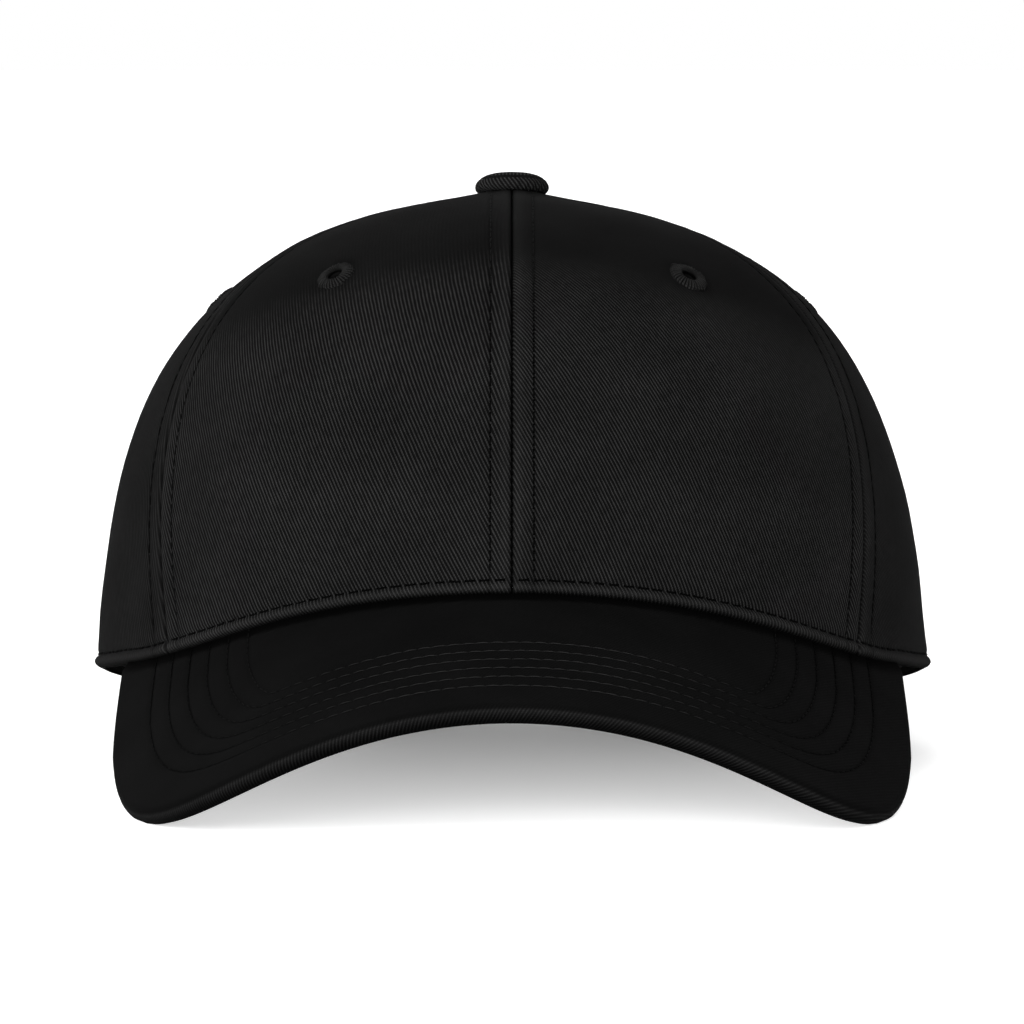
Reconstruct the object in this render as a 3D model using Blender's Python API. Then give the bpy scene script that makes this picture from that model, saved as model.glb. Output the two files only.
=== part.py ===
"""Six-panel baseball cap with a curved visor and a flip-buckle strap, resting on the floor.

Lengths are in millimetres and angles in degrees until a mesh is made, where MM turns them into
metres. The cap rests on its two visor corners and the back of its hem, with the visor towards -Y
and the floor at Z = 0. The crown has a frame of its own, tilted back by BASE_TILT: X across,
F forward and W up from the plane of the hem.
"""

import math

import bmesh
import bpy
from mathutils import Matrix, Vector

MM = 0.001

# Crown: half axes of the hem, height of the dome and the low peak under the button
HALF_WIDTH = 90.5
HALF_LENGTH = 98.8
DOME_HEIGHT = 101.2
PEAK_HEIGHT = 6.43
PEAK_SPREAD = 0.1926
HEM_FLARE = 0.0113
ROUND_SIDE = 2.634
ROUND_FRONT = 2.6
ROUND_REAR = 2.2
ROUND_RISE = 2.451
BASE_TILT = 9.8
CROWN_LIFT = 19.2
CROWN_BACK = 28.25

# Seams: azimuth from the front at the hem, and how far each leans by the top
FRONT_SEAM = 53.66
FRONT_SEAM_LEAN = 16.76
FRONT_SEAM_BOW = -1.39
REAR_SEAM = 128.0
REAR_SEAM_LEAN = -14.0
REAR_HEM_DROP = 4.6
TOP_RISE = 89.4
SEAM_GAP = 0.4

# Layers of the crown, as depths under its outer face
PANEL_THICKNESS = 1.0
BUCKRAM_DEPTH = 1.3
BUCKRAM_THICKNESS = 0.8
BUCKRAM_TOP = 80.0
TAPE_DEPTH = 2.95
TAPE_THICKNESS = 0.6
TAPE_WIDTH = 12.0
TAPE_TOP = 84.0
SWEATBAND_DEPTH = 4.2
SWEATBAND_THICKNESS = 1.4
SWEATBAND_HEIGHT = 32.0
SWEATBAND_CLEAR = 1.0

# Rear opening, a half moon above the strap
OPENING_HALF_ANGLE = 24.8
OPENING_HEIGHT = 52.0

# Visor: an arched sheet that falls forward, and its outline seen from above
VISOR_SLOPE = 15.0
VISOR_ROOT_AHEAD = -96.72
VISOR_ROOT_HEIGHT = 24.74
VISOR_ARCH_SQUARE = 41.75
VISOR_ARCH_FOURTH = 18.8
VISOR_ARCH_GROWTH = 0.1
VISOR_GROWTH_LENGTH = 62.4
VISOR_HALF_CHORD = 85.1
VISOR_OUTLINE_CENTRE = -90.0
VISOR_OUTLINE_LENGTH = 152.5
VISOR_SIDE_POWER = 5.0
VISOR_FRONT_POWER = 4.0
VISOR_END_AHEAD = -52.0
VISOR_FLARE = 0.013
VISOR_FLARE_LENGTH = 40.0
VISOR_END_AZIMUTH = 66.0
VISOR_ROOT_DEPTH = 2.2
VISOR_FABRIC = 0.6
VISOR_BOARD_DEPTH = 1.15
VISOR_BOARD_THICKNESS = 1.7
VISOR_LINING_DEPTH = 3.3
VISOR_THICKNESS = 3.9
VISOR_LIP = 0.8
VISOR_BOARD_INSET = 1.7
HEM_GAP = 0.35

# Eyelets: azimuth and rise of each pair, and the hole behind them
EYELETS = {"front": (35.1, 48.6), "side": (90.0, 50.0), "rear": (148.0, 53.0)}
EYELET_RADIUS = 4.2
EYELET_BORE = 1.2
EYELET_HOLE = 2.3

# Covered button on the crown's top, measured up from the hem plane
BUTTON_RADIUS = 8.15

# Strap and flip buckle, on a cone about the centre of the rear curve
STRAP_RADIUS = 82.45
STRAP_THICKNESS = 1.2
STRAP_LEAN = 5.0
STRAP_BOTTOM = 1.8
STRAP_TOP = 21.1
STRAP_HALF_ANGLE = 41.0
STRAP_CENTRE_BACK = 16.1
BUCKLE_AZIMUTH = 13.0

Y_AXIS_TILT = math.radians(BASE_TILT)
FORWARD = Vector((0.0, -math.cos(Y_AXIS_TILT), math.sin(Y_AXIS_TILT)))
UPWARD = Vector((0.0, math.sin(Y_AXIS_TILT), math.cos(Y_AXIS_TILT)))
ACROSS = Vector((1.0, 0.0, 0.0))
CROWN_ORIGIN = Vector((0.0, CROWN_BACK, CROWN_LIFT))


def clear_scene():
    for old in list(bpy.data.objects):
        bpy.data.objects.remove(old, do_unlink=True)


# ---------------------------------------------------------------- materials


def material(name, colour, roughness, metallic=0.0):
    made = bpy.data.materials.new(name)
    made.use_nodes = True
    shader = made.node_tree.nodes["Principled BSDF"]
    shader.inputs["Base Color"].default_value = (*colour, 1.0)
    shader.inputs["Roughness"].default_value = roughness
    shader.inputs["Metallic"].default_value = metallic
    return made


# ------------------------------------------------------------- crown surface


def crown_to_world(across, forward, up):
    return CROWN_ORIGIN + ACROSS * across + FORWARD * forward + UPWARD * up


def dome(azimuth, rise, drop=0.0):
    """A point of the crown's outer face in the crown's frame; drop lowers it under the hem plane."""
    turn = math.radians(azimuth)
    lift = math.radians(rise)
    facing = math.cos(turn)
    end = ROUND_FRONT if facing > 0.0 else ROUND_REAR
    power = 2.0 / (ROUND_SIDE + (end - ROUND_SIDE) * facing * facing)
    reach = math.cos(lift) ** power
    height = math.sin(lift) ** (2.0 / ROUND_RISE)
    flare = 1.0 + HEM_FLARE * (1.0 - height) ** 4
    peak = PEAK_HEIGHT * math.exp(-reach / PEAK_SPREAD)
    return Vector((
        HALF_WIDTH * reach * flare * math.sin(turn),
        HALF_LENGTH * reach * flare * facing,
        DOME_HEIGHT * height + peak + drop,
    ))


def dome_normal(azimuth, rise):
    step = 0.05
    if rise < 1.0:
        rise = 1.0
    along = dome(azimuth + step, rise) - dome(azimuth - step, rise)
    upward = dome(azimuth, rise + step) - dome(azimuth, rise - step)
    return upward.cross(along).normalized()


def rise_at_height(height):
    share = min(max(height / DOME_HEIGHT, 0.0), 1.0)
    return math.degrees(math.asin(share ** (ROUND_RISE / 2.0)))


def shell_point(azimuth, rise, depth, drop=0.0):
    """World place of a point at a depth under the crown's outer face."""
    local = dome(azimuth, rise, drop) - dome_normal(azimuth, rise) * depth
    return crown_to_world(local.x, local.y, local.z)


def wall_point(azimuth, height, depth):
    """The same by height above the hem plane; below it the wall runs straight down."""
    return shell_point(azimuth, rise_at_height(height), depth, min(height, 0.0))


def height_share(rise):
    return math.sin(math.radians(rise)) ** (2.0 / ROUND_RISE)


def front_seam(rise):
    share = height_share(rise)
    return FRONT_SEAM + FRONT_SEAM_LEAN * share + FRONT_SEAM_BOW * share * share


def rear_seam(rise):
    return REAR_SEAM + REAR_SEAM_LEAN * height_share(rise)


# ------------------------------------------------------------- visor surface


def visor_top(x, ahead):
    """Height of the visor's upper face, ahead being the distance in front of its root."""
    growth = 1.0 + VISOR_ARCH_GROWTH * max(ahead, -VISOR_GROWTH_LENGTH) / VISOR_GROWTH_LENGTH
    share = x / 100.0
    arch = VISOR_ARCH_SQUARE * share ** 2 + VISOR_ARCH_FOURTH * share ** 4
    fall = math.tan(math.radians(VISOR_SLOPE)) * ahead
    return VISOR_ROOT_HEIGHT - fall - arch * growth


def visor_point(x, ahead, depth):
    """World place of a point at a depth under the visor's upper face."""
    step = 0.05
    here = Vector((x, VISOR_ROOT_AHEAD - ahead, visor_top(x, ahead)))
    slope_x = (visor_top(x + step, ahead) - visor_top(x - step, ahead)) / (2.0 * step)
    slope_y = (visor_top(x, ahead - step) - visor_top(x, ahead + step)) / (2.0 * step)
    normal = Vector((-slope_x, -slope_y, 1.0)).normalized()
    return here - normal * depth + CROWN_ORIGIN


def hem_height(azimuth, depth, gap=HEM_GAP):
    """Height of the hem: on the visor at the front, then easing to a slightly dropped back."""
    side = abs(azimuth)
    reach = min(side, VISOR_END_AZIMUTH)
    height = 4.0
    for _ in range(12):
        place = wall_point(reach, height, depth) - CROWN_ORIGIN
        height += visor_top(place.x, VISOR_ROOT_AHEAD - place.y) + gap - place.z
    if side > VISOR_END_AZIMUTH:
        ease = min((side - VISOR_END_AZIMUTH) / 30.0, 1.0)
        height *= math.cos(math.radians(90.0 * ease)) ** 2
        back = max(side - 100.0, 0.0) / 80.0
        height -= REAR_HEM_DROP * math.sin(math.radians(90.0 * back)) ** 2
    return height


def visor_outline(count):
    """Points (x, ahead) evenly spaced along the visor's edge, from its -X end to its +X end."""
    fine = 600
    half = []
    for i in range(fine + 1):
        k = i / fine
        near = k ** VISOR_SIDE_POWER
        far = (1.0 - k) ** VISOR_FRONT_POWER
        share = near / (near + far)
        x = VISOR_HALF_CHORD * share ** (1.0 / VISOR_SIDE_POWER)
        ahead = (VISOR_OUTLINE_CENTRE
                 + VISOR_OUTLINE_LENGTH * (1.0 - share) ** (1.0 / VISOR_FRONT_POWER))
        if ahead < VISOR_END_AHEAD:
            break
        reach = min((ahead - VISOR_END_AHEAD) / VISOR_FLARE_LENGTH, 1.0)
        half.append((x * (1.0 + VISOR_FLARE * reach), ahead))
    whole = [(-x, ahead) for x, ahead in reversed(half[1:])] + half
    travel = [0.0]
    for a, b in zip(whole, whole[1:]):
        travel.append(travel[-1] + math.dist(a, b))
    places = []
    j = 0
    for i in range(count + 1):
        target = travel[-1] * i / count
        while j < len(travel) - 2 and travel[j + 1] < target:
            j += 1
        part = (target - travel[j]) / (travel[j + 1] - travel[j])
        a, b = whole[j], whole[j + 1]
        places.append((a[0] + (b[0] - a[0]) * part, a[1] + (b[1] - a[1]) * part))
    return places


# -------------------------------------------------------------- mesh helpers


def finish_mesh(name, bm, paint, origin=Vector((0.0, 0.0, 0.0))):
    bmesh.ops.recalc_face_normals(bm, faces=bm.faces)
    bmesh.ops.transform(bm, matrix=Matrix.Translation(-origin), verts=bm.verts)
    bmesh.ops.scale(bm, vec=(MM, MM, MM), verts=bm.verts)
    mesh = bpy.data.meshes.new(name)
    bm.to_mesh(mesh)
    bm.free()
    mesh.shade_smooth()
    mesh.set_sharp_from_angle(angle=math.radians(40.0))
    mesh.materials.append(paint)
    made = bpy.data.objects.new(name, mesh)
    made.location = origin * MM
    bpy.context.scene.collection.objects.link(made)
    return made


def slab(name, outer, inner, paint):
    """A closed sheet between two grids of points with the same rows and columns."""
    bm = bmesh.new()
    sides = [[[bm.verts.new(p) for p in row] for row in grid] for grid in (outer, inner)]
    rows, columns = len(outer), len(outer[0])
    for side in sides:
        for i in range(rows - 1):
            for j in range(columns - 1):
                bm.faces.new((side[i][j], side[i][j + 1], side[i + 1][j + 1], side[i + 1][j]))
    rim = [(0, j) for j in range(columns)]
    rim += [(i, columns - 1) for i in range(1, rows)]
    rim += [(rows - 1, j) for j in range(columns - 2, -1, -1)]
    rim += [(i, 0) for i in range(rows - 2, 0, -1)]
    for (a, b), (c, d) in zip(rim, rim[1:] + rim[:1]):
        bm.faces.new((sides[0][a][b], sides[1][a][b], sides[1][c][d], sides[0][c][d]))
    return finish_mesh(name, bm, paint)


def sweep(name, sections, paint, origin=Vector((0.0, 0.0, 0.0)), closed=False):
    """A closed body through matching closed sections, capped at its ends unless it is a ring."""
    bm = bmesh.new()
    loops = [[bm.verts.new(p) for p in section] for section in sections]
    pairs = list(zip(loops, loops[1:]))
    if closed:
        pairs.append((loops[-1], loops[0]))
    for low, high in pairs:
        for k in range(len(low)):
            nxt = (k + 1) % len(low)
            bm.faces.new((low[k], low[nxt], high[nxt], high[k]))
    if not closed:
        bm.faces.new(loops[0])
        bm.faces.new(loops[-1])
    return finish_mesh(name, bm, paint, origin)


def turned(name, profile, segments, centre, axis, paint):
    """A body turned about an axis; points of the profile are (radius, height)."""
    frame = axis.to_track_quat("Z", "Y").to_matrix()
    bm = bmesh.new()
    rings = []
    for radius, height in profile:
        if radius == 0.0:
            rings.append([bm.verts.new(centre + frame @ Vector((0.0, 0.0, height)))])
            continue
        ring = []
        for k in range(segments):
            turn = 2.0 * math.pi * k / segments
            spot = Vector((radius * math.cos(turn), radius * math.sin(turn), height))
            ring.append(bm.verts.new(centre + frame @ spot))
        rings.append(ring)
    open_ended = profile[0][0] == 0.0 and profile[-1][0] == 0.0
    pairs = list(zip(rings, rings[1:]))
    if not open_ended:
        pairs.append((rings[-1], rings[0]))
    for low, high in pairs:
        for k in range(segments):
            nxt = (k + 1) % segments
            corners = [low[k % len(low)], low[nxt % len(low)], high[nxt % len(high)], high[k % len(high)]]
            corners = list(dict.fromkeys(corners))
            bm.faces.new(corners)
    return finish_mesh(name, bm, paint)


# ------------------------------------------------------------------- panels

LEVELS = (0.0, 9.0, 19.0, 30.0, 41.0, 52.0, 63.0, 74.0, 82.0, 86.6, TOP_RISE)
PLAIN_SHARES = tuple(k / 6.0 for k in range(7))
OPENING_STEPS = 6


def opening_edge(step, grow=0.0):
    """Azimuth and height of the opening's edge at a step from its corner to its crest."""
    turn = math.radians(90.0 * step / OPENING_STEPS)
    reach = OPENING_HALF_ANGLE + math.degrees(grow / HALF_LENGTH)
    base = hem_height(180.0 - OPENING_HALF_ANGLE, 0.0)
    return 180.0 - reach * math.cos(turn), base + (OPENING_HEIGHT + grow) * math.sin(turn)


def panel_columns(kind):
    """Each column as a share between the panel's seams and the height of its lower edge."""
    if kind != "rear":
        return [(share, None) for share in PLAIN_SHARES]
    low = rear_seam(0.0)
    span = 180.0 - low
    corner = 180.0 - OPENING_HALF_ANGLE
    plain = [((corner - low) / span * k / 3.0, None) for k in range(3)]
    arched = []
    for step in range(OPENING_STEPS + 1):
        azimuth, height = opening_edge(step)
        arched.append(((azimuth - low) / span, height))
    return plain + arched


def seams_of(kind, rise):
    if kind == "front":
        return 0.0, front_seam(rise)
    if kind == "side":
        return front_seam(rise), rear_seam(rise)
    return rear_seam(rise), 180.0


def panel_grid(kind, mirror, depth, levels, gap=HEM_GAP):
    """Rows of points from the lower edge to the top, at one depth under the outer face."""
    rows = []
    for level in levels:
        climb = level / TOP_RISE
        row = []
        for share, edge in panel_columns(kind):
            low, high = seams_of(kind, 0.0)
            foot = low + (high - low) * share
            bottom = hem_height(foot, depth, gap) if edge is None else edge
            start = rise_at_height(bottom)
            rise = start + (TOP_RISE - start) * climb
            low, high = seams_of(kind, rise)
            radius = dome((low + high) / 2.0, rise).xy.length
            margin = math.degrees(SEAM_GAP / 2.0 / radius)
            azimuth = low + margin + (high - low - 2.0 * margin) * share
            drop = min(bottom, 0.0) * (1.0 - climb) ** 4
            place = shell_point(mirror * azimuth, rise, depth, drop)
            place.z = max(place.z, 0.0)
            row.append(place)
        rows.append(row)
    return rows


def crown_panel(kind, side, mirror, paint):
    outer = panel_grid(kind, mirror, 0.0, LEVELS)
    inner = panel_grid(kind, mirror, PANEL_THICKNESS, LEVELS)
    return slab(f"{kind}_panel_{side}", outer, inner, paint)


def buckram(side, mirror, paint):
    levels = [level for level in LEVELS if level < BUCKRAM_TOP]
    outer = panel_grid("front", mirror, BUCKRAM_DEPTH, levels)
    inner = panel_grid("front", mirror, BUCKRAM_DEPTH + BUCKRAM_THICKNESS, levels)
    return slab(f"front_buckram_{side}", outer, inner, paint)


def seam_tape(name, seam, bottom_height, paint):
    """A folded tape inside the crown along one seam; seam gives its azimuth at a rise."""
    start = rise_at_height(bottom_height)
    count = 8
    outer, inner = [], []
    for i in range(count + 1):
        rise = start + (TAPE_TOP - start) * i / count
        azimuth = seam(rise)
        radius = dome(azimuth, rise).xy.length
        half = math.degrees(TAPE_WIDTH / 2.0 / radius)
        turns = (azimuth - half, azimuth, azimuth + half)
        outer.append([shell_point(turn, rise, TAPE_DEPTH) for turn in turns])
        inner.append([shell_point(turn, rise, TAPE_DEPTH + TAPE_THICKNESS) for turn in turns])
    return slab(name, outer, inner, paint)


def sweatband(paint):
    reach = 180.0 - OPENING_HALF_ANGLE - 1.6
    count = 46
    sections = []
    deep = SWEATBAND_DEPTH + SWEATBAND_THICKNESS
    for i in range(count + 1):
        azimuth = -reach + 2.0 * reach * i / count
        low = hem_height(azimuth, SWEATBAND_DEPTH) + SWEATBAND_CLEAR
        section = []
        for depth, height in ((SWEATBAND_DEPTH, low), (SWEATBAND_DEPTH, low + SWEATBAND_HEIGHT / 2.0),
                              (SWEATBAND_DEPTH, low + SWEATBAND_HEIGHT), (deep, low + SWEATBAND_HEIGHT),
                              (deep, low + SWEATBAND_HEIGHT / 2.0), (deep, low)):
            section.append(wall_point(azimuth, height, depth))
        sections.append(section)
    return sweep("sweatband", sections, paint)


def opening_binding(paint):
    """Folded tape over the edge of the half-moon opening, above the strap."""
    profile = ((5.0, -1.2), (-1.2, -1.2), (-1.2, 2.3), (5.0, 2.3),
               (5.0, 1.65), (-0.45, 1.65), (-0.45, -0.5), (5.0, -0.5))
    first = 2
    half = [first] + list(range(3, OPENING_STEPS + 1))
    sections = []
    for side, steps in ((1.0, half), (-1.0, list(reversed(half[:-1])))):
        for step in steps:
            section = []
            for grow, depth in profile:
                azimuth, height = opening_edge(step, grow)
                section.append(wall_point(side * azimuth, height, depth))
            sections.append(section)
    return sweep("opening_binding", sections, paint)


def inner_label(paint):
    """A small blank label sewn to the inside of the sweatband at the front."""
    depth = SWEATBAND_DEPTH + SWEATBAND_THICKNESS + 0.4
    low = hem_height(0.0, SWEATBAND_DEPTH) + 10.0
    grids = []
    for layer in (depth, depth + 0.5):
        grids.append([[wall_point(azimuth, height, layer) for azimuth in (-7.8, -3.9, 0.0, 3.9, 7.8)]
                      for height in (low, low + 14.0)])
    return slab("inner_label", grids[0], grids[1], paint)


# ------------------------------------------------------------------ eyelets


def eyelet_frame(kind, mirror):
    azimuth, rise = EYELETS[kind]
    place = shell_point(mirror * azimuth, rise, 0.0)
    axis = place - shell_point(mirror * azimuth, rise, 1.0)
    return place, axis.normalized()


def eyelet(kind, side, mirror, paint):
    place, axis = eyelet_frame(kind, mirror)
    profile = ((EYELET_BORE, -2.4), (1.9, -2.4), (1.9, 0.35), (EYELET_RADIUS, 0.35),
               (EYELET_RADIUS, 0.6), (2.7, 1.1), (EYELET_BORE, 0.8))
    return turned(f"eyelet_{kind}_{side}", profile, 14, place, axis, paint)


def eyelet_cutter(kind, side, mirror, paint):
    place, axis = eyelet_frame(kind, mirror)
    profile = ((0.0, -6.0), (EYELET_HOLE, -6.0), (EYELET_HOLE, 6.0), (0.0, 6.0))
    cutter = turned(f"cutter_{kind}_{side}", profile, 14, place, axis, paint)
    cutter.hide_render = True
    cutter.display_type = "WIRE"
    return cutter


def cut(target, cutter):
    hole = target.modifiers.new("eyelet_hole", "BOOLEAN")
    hole.operation = "DIFFERENCE"
    hole.solver = "EXACT"
    hole.object = cutter


# -------------------------------------------------------------------- visor

VISOR_STATIONS = 34
VISOR_ROWS = (0.0, 0.03, 0.25, 0.5, 0.75, 1.0)


def visor_root(share):
    """Plan place (x, ahead) of the visor's root at a share from its -X end to its +X end."""
    azimuth = VISOR_END_AZIMUTH * (2.0 * share - 1.0)
    height = hem_height(azimuth, VISOR_ROOT_DEPTH)
    place = wall_point(azimuth, height, VISOR_ROOT_DEPTH) - CROWN_ORIGIN
    return place.x, VISOR_ROOT_AHEAD - place.y


def visor_sections(top, bottom, inset, lip_bottom=None):
    """Closed sections from the edge to the root, one for each place along the edge."""
    edge = visor_outline(VISOR_STATIONS)
    sections = []
    for i, rim in enumerate(edge):
        root = visor_root(i / VISOR_STATIONS)
        span = math.dist(rim, root)

        def at(distance, depth):
            share = min(distance / span, 1.0)
            x = rim[0] + (root[0] - rim[0]) * share
            ahead = rim[1] + (root[1] - rim[1]) * share
            return visor_point(x, ahead, depth)

        stops = [inset + (span - inset) * row for row in VISOR_ROWS]
        section = [at(stop, top) for stop in stops]
        section += [at(stop, bottom) for stop in reversed(stops)]
        if lip_bottom is not None:
            section[-1] = at(VISOR_LIP, bottom)
            section += [at(VISOR_LIP, lip_bottom), at(0.0, lip_bottom)]
        for place in section:
            place.z = max(place.z, 0.0)
        sections.append(section)
    return sections


def visor(fabric, board, lining):
    sweep("visor_upper_fabric", visor_sections(0.0, VISOR_FABRIC, 0.0, VISOR_THICKNESS), fabric)
    board_bottom = VISOR_BOARD_DEPTH + VISOR_BOARD_THICKNESS
    sweep("visor_board", visor_sections(VISOR_BOARD_DEPTH, board_bottom, VISOR_BOARD_INSET), board)
    sweep("visor_lower_fabric",
          visor_sections(VISOR_LINING_DEPTH, VISOR_THICKNESS, VISOR_BOARD_INSET), lining)


# ------------------------------------------------------------------- button


def button(fabric, metal):
    foot = crown_to_world(0.0, 0.0, 0.0)
    edge = BUTTON_RADIUS
    cover = ((0.0, 110.3), (4.2, 110.1), (edge - 1.25, 109.4), (edge, 108.0), (edge - 0.05, 106.7),
             (edge - 0.8, 105.9), (edge - 1.2, 106.3), (edge - 0.7, 106.9), (edge - 0.7, 107.8),
             (edge - 1.65, 108.7), (4.0, 109.4), (0.0, 109.6))
    turned("button_cover", cover, 24, foot, UPWARD, fabric)
    cup = edge - 1.1
    shell = ((0.0, 109.3), (3.9, 109.1), (cup - 0.8, 108.45), (cup, 107.7), (cup, 107.1), (cup - 0.75, 106.5),
             (cup - 1.25, 106.7), (cup - 0.6, 107.2), (cup - 0.6, 107.5), (cup - 1.25, 108.0), (3.6, 108.5),
             (0.0, 108.7))
    turned("button_shell", shell, 24, foot, UPWARD, metal)
    rivet = ((0.0, 108.25), (4.0, 108.0), (4.0, 107.3), (1.2, 107.3), (1.2, 102.2), (2.4, 102.0),
             (2.4, 101.4), (0.0, 101.1))
    turned("button_rivet", rivet, 16, foot, UPWARD, metal)
    washer = ((1.55, 102.5), (8.0, 102.5), (8.0, 103.2), (1.55, 103.2))
    turned("button_washer", washer, 20, foot, UPWARD, metal)


# --------------------------------------------------------- strap and buckle


def strap_axis_point():
    return crown_to_world(0.0, -STRAP_CENTRE_BACK, 0.0)


def cone_point(azimuth, height, depth):
    """World place on the strap's cone; azimuth is from the middle of the back towards +X."""
    turn = math.radians(azimuth)
    radius = STRAP_RADIUS - depth - math.tan(math.radians(STRAP_LEAN)) * height
    forward = -STRAP_CENTRE_BACK - radius * math.cos(turn)
    return crown_to_world(radius * math.sin(turn), forward, height)


def adjusting_strap(paint):
    sections = []
    count = 18
    for i in range(count + 1):
        azimuth = -STRAP_HALF_ANGLE + 2.0 * STRAP_HALF_ANGLE * i / count
        sections.append([
            cone_point(azimuth, STRAP_BOTTOM, 0.0),
            cone_point(azimuth, STRAP_TOP, 0.0),
            cone_point(azimuth, STRAP_TOP, STRAP_THICKNESS),
            cone_point(azimuth, STRAP_BOTTOM, STRAP_THICKNESS),
        ])
    return sweep("adjusting_strap", sections, paint, origin=strap_axis_point())


def buckle_frame_axes():
    """Directions along the strap, up its cone and out from it, at the buckle."""
    middle = (STRAP_BOTTOM + STRAP_TOP) / 2.0
    centre = cone_point(BUCKLE_AZIMUTH, middle, 0.0)
    along = (cone_point(BUCKLE_AZIMUTH + 1.0, middle, 0.0)
             - cone_point(BUCKLE_AZIMUTH - 1.0, middle, 0.0)).normalized()
    up = (cone_point(BUCKLE_AZIMUTH, STRAP_TOP, 0.0)
          - cone_point(BUCKLE_AZIMUTH, STRAP_BOTTOM, 0.0)).normalized()
    return centre, along, up, up.cross(along).normalized()


def buckle_point(along, up, out):
    centre, x, y, z = buckle_frame_axes()
    return centre + x * along + y * up + z * out


def extruded(name, outline, low, high, paint, origin=Vector((0.0, 0.0, 0.0))):
    """An outline of (along, out) points drawn up the buckle from low to high."""
    sections = [[buckle_point(along, level, out) for along, out in outline] for level in (low, high)]
    return sweep(name, sections, paint, origin)


def looped(name, outer, inner, low, high, paint, origin=Vector((0.0, 0.0, 0.0))):
    """Two matching outlines with an eye between them, drawn up the buckle as a ring."""
    sections = []
    for (a, b), (c, d) in zip(outer, inner):
        sections.append([buckle_point(a, low, b), buckle_point(a, high, b),
                         buckle_point(c, high, d), buckle_point(c, low, d)])
    return sweep(name, sections, paint, origin, closed=True)


PIN_ALONG = -6.5
PIN_OUT = 2.45
PIN_RADIUS = 0.8
CHEEK = 12.4


def buckle(metal, pin_metal, fabric):
    # frame: back plate under the strap, two cheeks above and below it, and a bar for the loop
    profile = ((-CHEEK, 3.6), (-CHEEK, -2.9), (CHEEK, -2.9), (CHEEK, 3.6),
               (CHEEK - 1.0, 3.6), (CHEEK - 1.0, -1.9), (-CHEEK + 1.0, -1.9), (-CHEEK + 1.0, 3.6))
    stations = (-8.0, 0.0, 9.4)
    sections = [[buckle_point(along, up, out) for up, out in profile] for along in stations]
    frame = sweep("buckle_frame", sections, metal)
    bar = sweep("buckle_bar_tool", [[buckle_point(a, up, o) for a, o in
                ((8.0, 2.2), (9.4, 2.2), (9.4, 3.6), (8.0, 3.6))] for up in (-CHEEK + 0.5, CHEEK - 0.5)],
                metal)
    bar.hide_render = True
    bar.display_type = "WIRE"
    joined = frame.modifiers.new("bar", "BOOLEAN")
    joined.operation = "UNION"
    joined.solver = "EXACT"
    joined.object = bar

    pin_low = buckle_point(PIN_ALONG, -CHEEK + 1.3, PIN_OUT)
    _, _, up_axis, _ = buckle_frame_axes()
    length = 2.0 * CHEEK - 2.6
    turned("buckle_pin", ((0.0, 0.0), (PIN_RADIUS, 0.0), (PIN_RADIUS, length), (0.0, length)),
           12, pin_low, up_axis, pin_metal)

    # lever: a barrel round the pin and a plate that lies along the strap
    barrel, bore = [], []
    steps = 16
    for k in range(steps):
        turn = 2.0 * math.pi * k / steps
        cosine, sine = math.cos(turn), math.sin(turn)
        barrel.append((PIN_ALONG + 1.9 * cosine, PIN_OUT + 1.9 * sine))
        bore.append((PIN_ALONG + 1.15 * cosine, PIN_OUT + 1.15 * sine))
    barrel[0] = (6.9, PIN_OUT + 0.2)
    barrel[1] = (6.9, PIN_OUT + 1.2)
    origin = buckle_point(PIN_ALONG, 0.0, PIN_OUT)
    looped("buckle_lever", barrel, bore, -CHEEK + 1.6, CHEEK - 1.6, metal, origin)

    # anchor loop: fabric round the bar, running to the edge of the rear panel
    outer = ((6.9, 3.0), (7.2, 4.4), (8.7, 5.0), (14.0, 3.4), (30.0, -1.5), (30.0, -2.7), (14.0, 2.2),
             (10.4, 1.2), (8.7, 0.75), (7.1, 1.4))
    inner = ((7.65, 3.0), (7.75, 3.75), (8.7, 4.05), (10.1, 3.8), (10.2, 3.3), (10.2, 2.9), (10.1, 2.5),
             (9.8, 1.95), (8.7, 1.7), (7.75, 2.0))
    looped("buckle_anchor_loop", outer, inner, -CHEEK + 1.6, CHEEK - 1.6, fabric)


# --------------------------------------------------------------------- build


def build_cap():
    twill = material("black_twill", (0.012, 0.012, 0.012), 0.85)
    stiffener = material("white_buckram", (0.55, 0.54, 0.50), 0.9)
    tape = material("black_seam_tape", (0.010, 0.010, 0.011), 0.8)
    band = material("black_sweatband", (0.014, 0.014, 0.015), 0.9)
    thread = material("black_thread", (0.020, 0.020, 0.020), 0.7)
    plastic = material("visor_board_plastic", (0.035, 0.035, 0.037), 0.5)
    brass = material("antique_brass", (0.33, 0.24, 0.13), 0.35, 1.0)
    steel = material("plated_steel", (0.55, 0.55, 0.56), 0.3, 1.0)
    label = material("woven_label", (0.05, 0.05, 0.055), 0.7)

    for side, mirror in (("left", 1.0), ("right", -1.0)):
        for kind in EYELETS:
            cutter = eyelet_cutter(kind, side, mirror, steel)
            cut(crown_panel(kind, side, mirror, twill), cutter)
            if kind == "front":
                cut(buckram(side, mirror, stiffener), cutter)
            eyelet(kind, side, mirror, thread)
        seam_tape(f"seam_tape_front_{side}", lambda rise, m=mirror: m * front_seam(rise), 30.0, tape)
        seam_tape(f"seam_tape_rear_{side}", lambda rise, m=mirror: m * rear_seam(rise), 30.0, tape)
    seam_tape("seam_tape_centre_front", lambda rise: 0.0, 30.0, tape)
    seam_tape("seam_tape_centre_back", lambda rise: 180.0, 60.0, tape)
    sweatband(band)
    opening_binding(tape)
    inner_label(label)
    visor(twill, plastic, twill)
    button(twill, steel)
    adjusting_strap(twill)
    buckle(brass, steel, twill)


clear_scene()
build_cap()
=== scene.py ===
import math

import bmesh
import bpy
import numpy as np
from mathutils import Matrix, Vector, noise


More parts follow.
